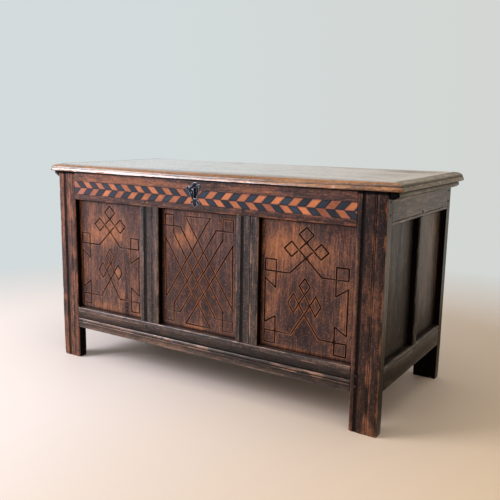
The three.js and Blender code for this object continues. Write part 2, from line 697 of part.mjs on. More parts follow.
// A bowed leaf between the guides that bears on the bolt, its two ends under the pocket's roof.
function buildSpring() {
  const middle = lock.x + (guide.tailAt + guide.noseAt) / 2;
  const halfLength = spring.length / 2;
  const radius = (halfLength ** 2 + spring.rise ** 2) / (2 * spring.rise);
  const lean = Math.asin(halfLength / radius);
  const foot = boltLow + bolt.height + fit;
  const centre = foot + radius;
  const shape = new THREE.Shape();
  shape.absarc(middle, centre, radius, -Math.PI / 2 - lean, -Math.PI / 2 + lean, false);
  shape.absarc(middle, centre, radius - spring.thick, -Math.PI / 2 + lean, -Math.PI / 2 - lean, true);
  shape.closePath();
  return plateFacingFront(shape, pocketMiddle + spring.wide / 2, spring.wide, spring.segments);
}

// The staple: a plate let into the lid, and an eye that hangs into the rail for the bolt.
function stapleEye() {
  const wide = bolt.thick / 2 + staple.slack;
  return { wide, low: boltLow - staple.slack, high: boltLow + bolt.height + staple.slack };
}

function buildStaple() {
  const eye = stapleEye();
  const x = lock.x + staple.at;
  const base = block([x - staple.base / 2, pocketMiddle - staple.baseWide / 2, lidUnder + fit],
    [x + staple.base / 2, pocketMiddle + staple.baseWide / 2, lidUnder + fit + staple.plate]);
  const loop = block([x - staple.thick / 2, pocketMiddle - eye.wide - staple.wall, eye.low - staple.wall],
    [x + staple.thick / 2, pocketMiddle + eye.wide + staple.wall, lidUnder + fit + staple.plate / 2]);
  const hole = block([x - staple.thick, pocketMiddle - eye.wide, eye.low],
    [x + staple.thick, pocketMiddle + eye.wide, eye.high]);
  return cut(join([base, loop]), [hole]);
}

function stapleHousing() {
  const x = lock.x + staple.at;
  const halfBase = staple.base / 2 + fit;
  const halfWide = staple.baseWide / 2 + fit;
  return block([x - halfBase, pocketMiddle - halfWide, lidUnder - overrun],
    [x + halfBase, pocketMiddle + halfWide, lidUnder + staple.plate + 2 * fit]);
}

function buildEscutcheon() {
  const point = carcass.height - escutcheon.below - escutcheon.height;
  const place = (hand) => ([across, up]) => new THREE.Vector2(
    lock.x + (hand * across * escutcheon.width) / 2, point + up * escutcheon.height);
  const shape = new THREE.Shape();
  shape.moveTo(lock.x, point + escutcheon.height);
  escutcheonShares.forEach((row) => shape.splineThru(row.slice(1).map(place(1))));
  [...escutcheonShares].reverse().forEach((row) => {
    shape.splineThru([...row].reverse().slice(1).map(place(-1)));
  });
  shape.holes.push(keyholeOutline(THREE.Path));
  return plateFacingFront(shape, front - fit, escutcheon.thick, escutcheon.segments);
}

// Assembly.

function buildLid() {
  const group = new THREE.Group();
  const hinges = [-hinge.spacing / 2, hinge.spacing / 2];
  const housings = [...hinges.flatMap(strapHousing), stapleHousing()];
  group.add(piece('lid_plank', cut(lidPlank(), housings), finish.lid));
  group.add(piece('lid_cleat_left', lidCleat('left'), finish.lid));
  group.add(piece('lid_cleat_right', lidCleat('right'), finish.lid));
  hinges.forEach((x, i) => {
    group.add(piece(`hinge_strap_${['left', 'right'][i]}`, lidLeaf(x), finish.iron));
  });
  group.add(piece('lid_staple', buildStaple(), finish.iron));
  return group;
}

function buildHardware() {
  const group = new THREE.Group();
  [-hinge.spacing / 2, hinge.spacing / 2].forEach((x, i) => {
    const hand = ['left', 'right'][i];
    group.add(piece(`hinge_back_leaf_${hand}`, backLeaf(x), finish.iron));
    group.add(piece(`hinge_pin_${hand}`, hingePin(x), finish.iron));
  });
  group.add(piece('lock_plate', buildLockPlate(), finish.iron));
  group.add(piece('lock_bolt', buildBolt(), finish.iron));
  group.add(piece('lock_spring', buildSpring(), finish.iron));
  group.add(piece('escutcheon', buildEscutcheon(), finish.iron));
  return group;
}

const chest = new THREE.Group();
chest.add(
  buildStiles(),
  placedWall('front', 'front', frontLooks),
  placedWall('back', 'back', backLooks),
  placedWall('left', 'side_left', { ...plainLooks, panelNames: ['rear', 'front'] }),
  placedWall('right', 'side_right', { ...plainLooks, panelNames: ['front', 'rear'] }),
  buildFloor(),
  buildInlay(),
  buildLid(),
  buildHardware(),
);
// The origin is the middle of the whole coffer's footprint, lid and hinges included.
chest.position.y = (reach.front - reach.rear) / 2;

export default chest;
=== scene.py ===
"""An old joined oak coffer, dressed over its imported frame.

Millimetres are used while a piece is drawn and metres once it is a mesh. A wall is drawn as it is
seen from outside: across to the right, height up, and depth inward from its outer face.
"""
import logging
import math
from collections.abc import Callable, Sequence
from dataclasses import dataclass, field
from enum import Enum

import bmesh
import bpy
import numpy as np
from mathutils import Matrix, Vector
from mathutils.geometry import delaunay_2d_cdt


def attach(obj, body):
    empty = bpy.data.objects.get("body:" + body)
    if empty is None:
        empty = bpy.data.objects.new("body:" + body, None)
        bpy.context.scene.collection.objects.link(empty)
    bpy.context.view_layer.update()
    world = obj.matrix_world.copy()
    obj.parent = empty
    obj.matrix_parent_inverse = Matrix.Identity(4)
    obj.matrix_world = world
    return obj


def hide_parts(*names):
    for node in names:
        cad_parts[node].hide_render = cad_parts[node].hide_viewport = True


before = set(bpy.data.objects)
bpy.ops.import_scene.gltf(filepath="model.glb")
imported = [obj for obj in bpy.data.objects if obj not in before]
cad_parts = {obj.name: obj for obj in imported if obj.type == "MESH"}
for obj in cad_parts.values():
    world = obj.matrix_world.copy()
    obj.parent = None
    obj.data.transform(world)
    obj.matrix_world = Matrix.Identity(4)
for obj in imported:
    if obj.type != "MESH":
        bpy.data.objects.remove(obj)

log = logging.getLogger("coffer")
Point2 = tuple[float, float]
Colour = tuple[float, float, float, float]
Patches = Sequence[tuple[float, ...]]
Faces = list[Sequence[int]]
FaceTest = Callable[[Vector], bool]
Spots = Sequence[tuple[Sequence[float], Sequence[float]]]
Piece = bpy.types.Object
Material = bpy.types.Material
Node, Tree, Socket = bpy.types.Node, bpy.types.NodeTree, bpy.types.NodeSocket

MM = 0.001
# In mm: the outer faces of the front and back walls, the carcass's top, the lock's middle and how far
# its staple is from it, and the middles and the axis of the hinges.
FRONT_Y, BACK_Y, TOP_Z = -263.15, 258.85, 620.3
LOCK_X, STAPLE_OFF, HINGE_XS, HINGE_Y = -7.5, 30.0, (-340.0, 340.0), 264.65
# In metres: where the carcass's top edge starts, which the lid hides, and where its inside starts.
TOP_EDGE_Z, INSIDE_Z = 0.614, 0.12


# ---------------------------------------------------------------------------------------------
# Plain helpers


def shade(code: str) -> Colour:
    """The linear colour of a hex code as it is seen on a screen.

    Args:
        code: Six hex digits.

    Returns:
        Red, green, blue and one.
    """
    parts = [int(code[i:i + 2], 16) / 255 for i in (0, 2, 4)]
    red, green, blue = (c / 12.92 if c <= 0.04045 else ((c + 0.055) / 1.055) ** 2.4 for c in parts)
    return red, green, blue, 1.0


def ripple(points: np.ndarray, size: float, seed: int) -> np.ndarray:
    """Smooth noise with a fixed seed.

    Args:
        points: Places in mm, one row each.
        size: How wide a bump is, in mm.
        seed: Which noise.

    Returns:
        One value from -1 to 1 for each place.
    """
    spot = points / size + seed * 17.13
    cell = np.floor(spot).astype(np.int64)
    part = spot - cell
    part = part * part * (3 - 2 * part)
    total = np.zeros(len(points))
    for corner in np.ndindex(2, 2, 2):
        at = cell + np.array(corner)
        code = (at[:, 0] * 73856093) ^ (at[:, 1] * 19349663) ^ (at[:, 2] * 83492791) ^ (seed * 7919)
        code = ((code ^ (code >> 13)) * 1274126177) & 0x7FFFFFFF
        value = ((code ^ (code >> 15)) & 0xFFFF) / 32767.5 - 1
        weight = np.prod(np.where(np.array(corner) == 1, part, 1 - part), axis=1)
        total += value * weight
    return total


def blobs(across: np.ndarray, height: np.ndarray, patches: Patches) -> np.ndarray:
    """Adds soft round patches up.

    Args:
        across: Places across.
        height: Places up.
        patches: Rows of middle across, middle up, half width, half height and strength.

    Returns:
        The sum of the patches at each place.
    """
    total = np.zeros(len(across))
    for mid_a, mid_h, wide, tall, strength in patches:
        total += strength * np.exp(-(((across - mid_a) / wide) ** 2 + ((height - mid_h) / tall) ** 2) * 1.4)
    return total


def distance(points: np.ndarray, starts: np.ndarray, ends: np.ndarray) -> np.ndarray:
    """How far each point is from the nearest of some straight strokes.

    Args:
        points: The places.
        starts: Where the strokes start.
        ends: Where they end.

    Returns:
        One distance for each place, huge where there are no strokes.
    """
    best = np.full(len(points), 1e9)
    for a, b in zip(starts, ends):
        along = b - a
        t = np.clip(((points - a) @ along) / max(along @ along, 1e-9), 0, 1)
        best = np.minimum(best, np.linalg.norm(points - a - t[:, None] * along, axis=1))
    return best


def add_object(name: str, data: bpy.types.ID) -> Piece:
    """Puts a mesh, lamp or camera into the scene.

    Args:
        name: The object's name.
        data: What it shows.

    Returns:
        The object.
    """
    made = bpy.data.objects.new(name, data)
    bpy.context.scene.collection.objects.link(made)
    return made


def round_grid(xs: np.ndarray, ys: np.ndarray) -> list[Point2]:
    """Goes round the edge of a grid.

    Args:
        xs: Its columns.
        ys: Its rows.

    Returns:
        Places in order from its first corner.
    """
    return ([(x, ys[0]) for x in xs[:-1]] + [(xs[-1], y) for y in ys[:-1]]
            + [(x, ys[-1]) for x in xs[:0:-1]] + [(xs[0], y) for y in ys[:0:-1]])


def ring_faces(rings: int, size: int) -> Faces:
    """The faces between closed rings of vertices that follow each other.

    Args:
        rings: How many there are.
        size: How many vertices each has.

    Returns:
        The faces.
    """
    return [(base + i, base + (i + 1) % size, base + size + (i + 1) % size, base + size + i)
            for base in range(0, (rings - 1) * size, size) for i in range(size)]


def slab(flat: np.ndarray, faces: Faces, front: np.ndarray, rear: np.ndarray) -> tuple[np.ndarray, Faces]:
    """Closes a flat net of triangles into a solid.

    Args:
        flat: The net's places in (across, height).
        faces: Its triangles.
        front: The depth of each place's front.
        rear: The depth of each place's rear.

    Returns:
        Rows of (across, depth, height), those of the front first, and the solid's faces.
    """
    count = len(flat)
    rows = np.concatenate([np.stack([flat[:, 0], depth, flat[:, 1]], axis=1) for depth in (front, rear)])
    sides: dict[tuple[int, int], bool] = {}
    for tri in faces:
        for a, b in zip(tri, (*tri[1:], tri[0])):
            if (b, a) in sides:
                del sides[b, a]
            else:
                sides[a, b] = True
    return rows, [*faces, *([i + count for i in reversed(tri)] for tri in faces),
                  *((b, a, a + count, b + count) for a, b in sides)]


def close_mesh(name: str, vertices: np.ndarray, faces: Sequence[Sequence[int]],
               masks: dict[str, np.ndarray] | None = None, crease: float = 35) -> Piece:
    """Makes an object of a closed mesh with its normals outward.

    Args:
        name: The object's name.
        vertices: Places in metres.
        faces: Corner numbers of each face.
        masks: Values for the finish, one for each vertex.
        crease: Edges sharper than this many degrees stay crisp.

    Returns:
        The new object.
    """
    mesh = bpy.data.meshes.new(name)
    mesh.from_pydata(np.asarray(vertices, float).tolist(), [], [list(map(int, f)) for f in faces])
    for key, values in (masks or {}).items():
        mesh.attributes.new(key, "FLOAT", "POINT").data.foreach_set("value", np.asarray(values, np.float32))
    work = bmesh.new()
    work.from_mesh(mesh)
    bmesh.ops.recalc_face_normals(work, faces=work.faces)
    work.to_mesh(mesh)
    work.free()
    mesh.shade_smooth()
    mesh.set_sharp_from_angle(angle=math.radians(crease))
    return add_object(name, mesh)


def prism(name: str, outline: Sequence[Point2], low: float, high: float,
          place: Callable[[np.ndarray], np.ndarray]) -> Piece:
    """A straight block over an outline, used as a cutter.

    Args:
        name: The object's name.
        outline: Corners in order.
        low: Where the block starts along the third direction.
        high: Where it ends.
        place: Takes rows of (first, second, third) to metres.

    Returns:
        The block.
    """
    count = len(outline)
    rows = [(a, b, level) for level in (low, high) for a, b in outline]
    ends = [list(range(count)), list(range(count, 2 * count))]
    return close_mesh(name, place(np.array(rows, float)), ends + ring_faces(2, count))


def plain_copy(piece: Piece) -> None:
    """Turns a piece's live modifiers into its own plain mesh.

    Args:
        piece: The piece.
    """
    graph = bpy.context.evaluated_depsgraph_get()
    made = bpy.data.meshes.new_from_object(piece.evaluated_get(graph))
    made.name = piece.name
    piece.modifiers.clear()
    piece.data = made


def run_nodes(piece: Piece, tree: Tree, values: dict[str, object]) -> None:
    """Runs geometry nodes over a piece and keeps the outcome as its own mesh.

    Args:
        piece: The piece.
        tree: The nodes.
        values: What their inputs are set to, by name.
    """
    step = piece.modifiers.new("nodes", "NODES")
    step.node_group = tree
    keys = {item.name: item.identifier for item in tree.interface.items_tree
            if item.item_type == "SOCKET" and item.in_out == "INPUT"}
    for name, value in values.items():
        step[keys[name]] = value
    plain_copy(piece)


def cut_away(piece: Piece, cutters: Sequence[Piece]) -> None:
    """Cuts blocks out of a piece.

    Args:
        piece: A closed piece.
        cutters: The blocks, which are used up.
    """
    for cutter in cutters:
        step = piece.modifiers.new(cutter.name, "BOOLEAN")
        step.operation, step.solver, step.object = "DIFFERENCE", "EXACT", cutter
    plain_copy(piece)
    for cutter in cutters:
        bpy.data.objects.remove(cutter)
    board = piece.data.attributes["board"].data
    value = max(item.value for item in board)
    for item in board:
        item.value = value
    piece.data.set_sharp_from_angle(angle=math.radians(32))


def paint_shade(piece: Piece, test: FaceTest) -> None:
    """Paints full shade into some of a piece's vertices, through the mask that also holds dirt.

    Args:
        piece: The piece.
        test: Picks the vertices by their places in metres.
    """
    mesh = piece.data
    # The mask here carries painted shade.
    dirt = mesh.attributes.get("grime") or mesh.attributes.new("grime", "FLOAT", "POINT")
    for vertex, item in zip(mesh.vertices, dirt.data):
        if test(vertex.co):
            item.value = 1.0


# ---------------------------------------------------------------------------------------------
# Finishes


class Wire:
    """A value on its way between nodes, so that arithmetic on it reads as such."""

    def __init__(self, bench: "Bench", socket: Socket) -> None:
        """Takes the socket that it comes from."""
        self.bench, self.socket = bench, socket

    def __add__(self, other: object) -> "Wire":
        """This plus another."""
        return self.bench.math("ADD", self, other)

    def __sub__(self, other: object) -> "Wire":
        """This less another."""
        return self.bench.math("SUBTRACT", self, other)

    def __rsub__(self, other: object) -> "Wire":
        """A number less this."""
        return self.bench.math("SUBTRACT", other, self)

    def __mul__(self, other: object) -> "Wire":
        """This times another."""
        return self.bench.math("MULTIPLY", self, other)

    def __truediv__(self, other: object) -> "Wire":
        """This over another."""
        return self.bench.math("DIVIDE", self, other)

    def __abs__(self) -> "Wire":
        """This without its sign."""
        return self.bench.math("ABSOLUTE", self)

    def held(self) -> "Wire":
        """This, with the step before it held between 0 and 1."""
        self.socket.node.use_clamp = True
        return self

    def span(self, low: float, high: float, to_low: float = 0, to_high: float = 1) -> "Wire":
        """Stretches a range of this onto another, held at its ends.

        Args:
            low: Where the range starts.
            high: Where it ends.
            to_low: What its start becomes.
            to_high: What its end becomes.

        Returns:
            The stretched value.
        """
        return self.bench.get("ShaderNodeMapRange", {
            "Value": self, "From Min": low, "From Max": high, "To Min": to_low, "To Max": to_high})


class Bench:
    """Lays and joins the nodes of one tree."""

    def __init__(self, tree: Tree) -> None:
        """Takes the tree."""
        self.tree = tree

    def feed(self, node: Node, values: dict) -> Node:
        """Gives a node's inputs links or values.

        Args:
            node: The node.
            values: Wires, sockets or values, by input name or number.

        Returns:
            The node.
        """
        for key, value in values.items():
            value = value.socket if isinstance(value, Wire) else value
            if isinstance(value, Socket):
                self.tree.links.new(value, node.inputs[key])
            elif value is not None:
                node.inputs[key].default_value = value
        return node

    def add(self, kind: str, inputs: dict | None = None, **settings: object) -> Node:
        """Adds a node.

        Args:
            kind: The node's type.
            inputs: Values or wires for its inputs, by name or number.
            settings: Its own settings.

        Returns:
            The node.
        """
        node = self.tree.nodes.new(kind)
        for key, value in settings.items():
            setattr(node, key, value)
        return self.feed(node, inputs or {})

    def get(self, kind: str, inputs: dict | None = None, output: int | str = 0, **settings: object) -> Wire:
        """Adds a node and takes one of its outputs."""
        return Wire(self, self.add(kind, inputs, **settings).outputs[output])

    def outputs(self, node: Node, *names: int | str) -> list[Wire]:
        """Takes some of a node's outputs."""
        return [Wire(self, node.outputs[name]) for name in names]

    def math(self, operation: str, first: object, second: object = None) -> Wire:
        """One step of arithmetic."""
        return self.get("ShaderNodeMath", {0: first, 1: second}, operation=operation)

    def most(self, first: object, *others: object) -> Wire:
        """The greatest of some values.

        Args:
            first: A value.
            others: The rest.

        Returns:
            The greatest.
        """
        for other in others:
            first = self.math("MAXIMUM", first, other)
        return first

    def mix(self, amount: object, first: object, second: object, blend: str = "MIX") -> Wire:
        """Mixes two colours.

        Args:
            amount: How much of the second.
            first: A colour.
            second: Another.
            blend: The way of mixing.

        Returns:
            The mixed colour.
        """
        return self.get("ShaderNodeMix", {0: amount, 6: first, 7: second}, 2,
                        data_type="RGBA", blend_type=blend, clamp_factor=True)

    def noise(self, vector: object, scale: float, detail: float, rough: float, seed: object, warp: float = 0) -> Wire:
        """Noise from 0 to 1 over a vector.

        Args:
            vector: The place.
            scale: How fine it is.
            detail: How many finer layers it has.
            rough: How strong they are.
            seed: The fourth coordinate.
            warp: How far it is bent.

        Returns:
            The noise.
        """
        return self.get("ShaderNodeTexNoise", {
            "Vector": vector, "W": seed, "Scale": scale, "Detail": detail, "Roughness": rough,
            "Distortion": warp}, noise_dimensions="4D")

    def ramp(self, value: object, stops: Sequence[tuple[float, Colour]]) -> Wire:
        """Colours a value by stops.

        Args:
            value: The value.
            stops: Places from 0 to 1 and their colours.

        Returns:
            The colour.
        """
        node = self.add("ShaderNodeValToRGB", {0: value})
        bar = node.color_ramp.elements
        while len(bar) < len(stops):
            bar.new(0.5)
        for element, (at, colour) in zip(bar, stops):
            element.position, element.color = at, colour
        return Wire(self, node.outputs[0])

    def mask(self, name: str) -> Wire:
        """Reads one of the values that a piece's mesh carries."""
        return self.get("ShaderNodeAttribute", None, "Fac", attribute_name=name, attribute_type="GEOMETRY")

    def vector(self, operation: str, first: object, second: object = None, output: str = "Vector") -> Wire:
        """One step of arithmetic on vectors."""
        return self.get("ShaderNodeVectorMath", {0: first, 1: second}, output, operation=operation)

    def split(self, vector: object) -> list[Wire]:
        """The three parts of a vector."""
        return self.outputs(self.add("ShaderNodeSeparateXYZ", {0: vector}), "X", "Y", "Z")

    def join(self, x: object, y: object = None, z: object = None) -> Wire:
        """A vector of three parts."""
        return self.get("ShaderNodeCombineXYZ", {"X": x, "Y": y, "Z": z})

    def bump(self, strength: float, reach: float, height: Wire) -> Wire:
        """The normal over a small relief."""
        return self.get("ShaderNodeBump", {"Strength": strength, "Distance": reach, "Height": height})


class GrainRun(Enum):
    """Which way a board's grain runs, as the turn that brings it upright."""

    UP = (0.0, 0.0, 0.0)
    ACROSS = (0.0, -math.pi / 2, 0.0)
    INWARD = (math.pi / 2, 0.0, 0.0)


def new_group(name: str, kind: str, inputs: Sequence[tuple[str, str, object]], outputs: Sequence[tuple[str, str]]
              ) -> tuple[Bench, dict[str, Wire], Node]:
    """Starts a node group.

    Args:
        name: The group's name.
        kind: Shader or Geometry.
        inputs: Name, type and first value of each input.
        outputs: Name and type of each output.

    Returns:
        Its bench, its inputs by name, and its output node.
    """
    tree = bpy.data.node_groups.new(name, f"{kind}NodeTree")
    for label, sort, value in inputs:
        socket = tree.interface.new_socket(label, in_out="INPUT", socket_type=f"NodeSocket{sort}")
        if value is not None:
            socket.default_value = value
    for label, sort in outputs:
        tree.interface.new_socket(label, in_out="OUTPUT", socket_type=f"NodeSocket{sort}")
    bench = Bench(tree)
    names = [label for label, _, _ in inputs]
    given = dict(zip(names, bench.outputs(bench.add("NodeGroupInput"), *names)))
    return bench, given, bench.add("NodeGroupOutput")


def new_material(name: str) -> tuple[Material, Bench, Node, Wire]:
    """Starts a material.

    Args:
        name: Its name.

    Returns:
        The material, its bench, its shader, and the place on the object in metres.
    """
    material = bpy.data.materials.new(name)
    material.use_nodes = True
    bench = Bench(material.node_tree)
    shader = material.node_tree.nodes["Principled BSDF"]
    return material, bench, shader, bench.get("ShaderNodeTexCoord", None, "Object")


def oak_grain_group() -> Tree:
    """Old oak's streaks, pores and ray flecks, with the grain along Z.

    Returns:
        A group that gives Streaks, Figure, Pores and Flecks from 0 to 1.
    """
    bench, given, made = new_group(
        "oak_grain", "Shader", [("Vector", "Vector", None), ("Board", "Float", 0.0)],
        [(name, "Float") for name in ("Streaks", "Figure", "Pores", "Flecks")])

    def grain(across: float, along: float, detail: float, rough: float, warp: float = 0) -> Wire:
        """Noise with its own scale across and along the grain."""
        spot = bench.vector("MULTIPLY", given["Vector"], (across, across, along))
        return bench.noise(spot, 1, detail, rough, given["Board"], warp)

    fine, broad, dashes = grain(230, 22, 5, 0.62), grain(50, 3.6, 4, 0.6, 0.5), grain(380, 55, 4, 0.7, 0.3)
    rings = bench.math("SINE", grain(7, 0.8, 2, 0.5) * 95)
    bench.feed(made, {
        "Streaks": (fine * 0.4 + broad * 0.26 + dashes * 0.34).span(0.41, 0.61),
        "Figure": rings * 0.5 + 0.5,
        "Pores": grain(1150, 42, 2, 0.5).span(0.56, 0.7),
        "Flecks": grain(330, 36, 1, 0.4, 1.4).span(0.66, 0.76)})
    return bench.tree


def patina_group() -> Tree:
    """Three centuries of wax, soot and hands over a board's own colour, with painted shade and light.

    Returns:
        A group that gives Colour and Dark, a mask of the waxed dirt and painted shade.
    """
    levels = {"Streaks": 0.5, "Board": 0.0, "Wear": 0.0, "Grime": 0.0, "Tone": 0.0, "Patchiness": 0.5}
    bench, get, made = new_group(
        "patina", "Shader",
        [("Vector", "Vector", None), ("Along", "Vector", None),
         *((name, "Color", None) for name in ("Wood", "Rubbed", "Smoke", "Wax")),
         *((name, "Float", level) for name, level in levels.items())],
        [("Colour", "Color"), ("Dark", "Float")])
    slow = bench.noise(get["Along"], 7.5, 4, 0.6, get["Board"], 0.6)
    mottle = bench.noise(get["Along"], 38, 5, 0.68, get["Board"], 0.4)
    scuff = bench.noise(get["Vector"], 150, 4, 0.7, get["Board"])
    grit = bench.noise(get["Vector"], 230, 3, 0.65, get["Board"])
    cloud = (slow * 0.5 + mottle * 0.5) * 0.8 + scuff * 0.2
    lean = (cloud - 0.5) * (get["Patchiness"] * 5.2) + get["Tone"] * 0.9 + (get["Streaks"] - 0.5) * 0.4
    # Positive tone lightens towards Rubbed, negative tone darkens; some patches are painted light and shade.
    rubbed_and_lit, dim = lean.span(0.02, 0.9), (lean * -1).span(0.02, 0.9)
    bitten = (get["Wear"] + (scuff - 0.5) * 1.1).span(0.3, 0.85)
    # Wax darkens where the mask of dirt and painted shade lies.
    filled = (get["Grime"] + (mottle - 0.5) * 0.5).span(0.15, 0.85)
    held = filled * get["Grime"].span(0.0, 0.2)
    colour = get["Wood"]
    for amount, over in ((rubbed_and_lit * 0.85, "Rubbed"), (dim * 0.85, "Smoke"), (bitten * get["Wear"], "Rubbed"),
                         (grit.span(0.54, 0.68) * 0.6, "Wax"), (grit.span(0.32, 0.46, 0.5, 0), "Rubbed"),
                         (held, "Wax")):
        colour = bench.mix(amount, colour, get[over])
    bench.feed(made, {"Colour": colour, "Dark": bench.most(held, dim * 0.6)})
    return bench.tree


@dataclass(frozen=True)
class OakFinish:
    """One board finish of the coffer's oak."""

    name: str
    deep: str
    middle: str
    pale: str
    rubbed: str
    # The dark colours that negative tone and the mask of dirt and painted shade lay on.
    smoke: str = "33282a"
    wax: str = "070404"
    gloss: float = 0.34
    roughness: float = 0.42
    coat: float = 0.3
    coat_roughness: float = 0.25
    patchiness: float = 0.5
    figure: float = 0.25
    relief: float = 0.5
    vein: float = 0.3

    def make(self, run: GrainRun, groups: dict[str, Tree]) -> Material:
        """Builds the finish for one run of the grain.

        Args:
            run: Which way the grain runs.
            groups: The shared node groups.

        Returns:
            The material.
        """
        material, bench, shader, place = new_material(f"{self.name}_{run.name.lower()}")
        deep, middle, pale, rubbed, smoke, wax = map(shade, (
            self.deep, self.middle, self.pale, self.rubbed, self.smoke, self.wax))
        board, wear, grime, tone = map(bench.mask, ("board", "wear", "grime", "tone"))
        turned = bench.get("ShaderNodeMapping", {"Vector": place, "Rotation": run.value})
        grain = bench.add("ShaderNodeGroup", {"Vector": turned, "Board": board}, node_tree=groups["grain"])
        streaks, figure, pores, flecks = bench.outputs(grain, "Streaks", "Figure", "Pores", "Flecks")
        wood = bench.ramp(streaks, [(0.0, deep), (0.5, middle), (1.0, pale)])
        wood = bench.mix(figure * self.figure, wood, deep)
        wood = bench.mix(flecks * 0.22, wood, rubbed)
        age = bench.add("ShaderNodeGroup", {
            "Vector": place, "Along": bench.vector("MULTIPLY", turned, (1, 1, 0.6)), "Streaks": streaks,
            "Wood": wood, "Rubbed": rubbed, "Smoke": smoke, "Wax": wax, "Board": board, "Wear": wear,
            "Grime": grime, "Tone": tone, "Patchiness": self.patchiness}, node_tree=groups["patina"])
        colour, dark = bench.outputs(age, "Colour", "Dark")
        vein = streaks.span(0, 1, 1 - self.vein, 1 + self.vein)
        colour = bench.mix(pores * 0.55, bench.mix(1.0, colour, vein, "MULTIPLY"), wax)
        # Dirt and painted shade take the gloss off.
        sooty_and_shaded = bench.most(grime, tone * -0.6).held()
        polish = wear.span(0, 1, self.coat, min(1.0, self.coat * 2.4)) * vein
        dents = bench.noise(place, 95, 3, 0.6, board)
        bench.feed(shader, {
            "Base Color": colour,
            "Roughness": ((streaks - 0.5) * 0.16 + dark * 0.12 + self.roughness).held(),
            "Specular IOR Level": sooty_and_shaded.span(0, 1, self.gloss, 0.05),
            "Coat Weight": ((1.0 - dark) * polish).held(),
            "Coat Roughness": self.coat_roughness,
            "Normal": bench.bump(self.relief, 0.0008, streaks * 0.4 + pores * -0.45 + dents * 0.9)})
        return material


@dataclass(frozen=True)
class TileFinish:
    """A wood of the inlaid band."""

    name: str
    deep: str
    pale: str
    dirt: str
    edge: str
    gloss: float
    roughness: float = 0.4

    def make(self) -> Material:
        """Builds the material of one wood of the band.

        Returns:
            The material.
        """
        material, bench, shader, place = new_material(self.name)
        tone = bench.mask("tile_tone")
        fibre = bench.noise(bench.vector("MULTIPLY", place, (120, 120, 900)), 1, 4, 0.6, tone)
        cloud = bench.noise(place, 55, 4, 0.65, tone)
        level = fibre * 0.5 + cloud * 0.5 + (tone - 0.5) * 0.35
        far_left = bench.split(place)[0].span(-0.49, -0.3, 0.9, 0)
        faded = (bench.noise(place, 22, 4, 0.7, tone).span(0.56, 0.74) + far_left).held()
        rim = bench.mask("tile_edge") + (cloud - 0.5) * 0.5
        colour = bench.mix(level.span(0.3, 0.72), shade(self.deep), shade(self.pale))
        colour = bench.mix(faded * 0.55, colour, shade(self.dirt))
        colour = bench.mix(rim.span(0.62, 1.0, 0, 0.85), colour, shade(self.edge))
        bench.feed(shader, {
            "Base Color": colour, "Roughness": cloud * 0.2 + (self.roughness - 0.1),
            "Specular IOR Level": self.gloss, "Coat Weight": 0.15, "Coat Roughness": 0.25,
            "Normal": bench.bump(0.4, 0.0005, level)})
        return material


@dataclass(frozen=True)
class IronFinish:
    """Forged iron, waxed black with rust and rubbed bright places."""

    name: str
    black: str = "1b1c1f"
    steel: str = "6d737c"
    rust: str = "3b2117"
    rubbed: float = 0.62
    roughness: float = 0.46

    def make(self) -> Material:
        """Builds the material of forged iron.

        Returns:
            The material.
        """
        material, bench, shader, place = new_material(self.name)
        scale = bench.noise(place, 170, 5, 0.65, 2.0)
        hammer = bench.get("ShaderNodeTexVoronoi", {"Vector": place, "Scale": 190.0}, feature="SMOOTH_F1")
        rusted = bench.noise(place, 60, 5, 0.7, 5.0).span(0.53, 0.7)
        bright = (scale + bench.mask("wear") * 0.45).span(self.rubbed, 0.9)
        colour = bench.mix(bright, shade(self.black), shade(self.steel))
        bench.feed(shader, {
            "Base Color": bench.mix(rusted * 0.55, colour, shade(self.rust)),
            "Metallic": 0.85 - rusted * 0.6, "Roughness": scale * 0.25 + (self.roughness - 0.1),
            "Normal": bench.bump(0.55, 0.0009, hammer * 1.6 + scale * 0.6)})
        return material


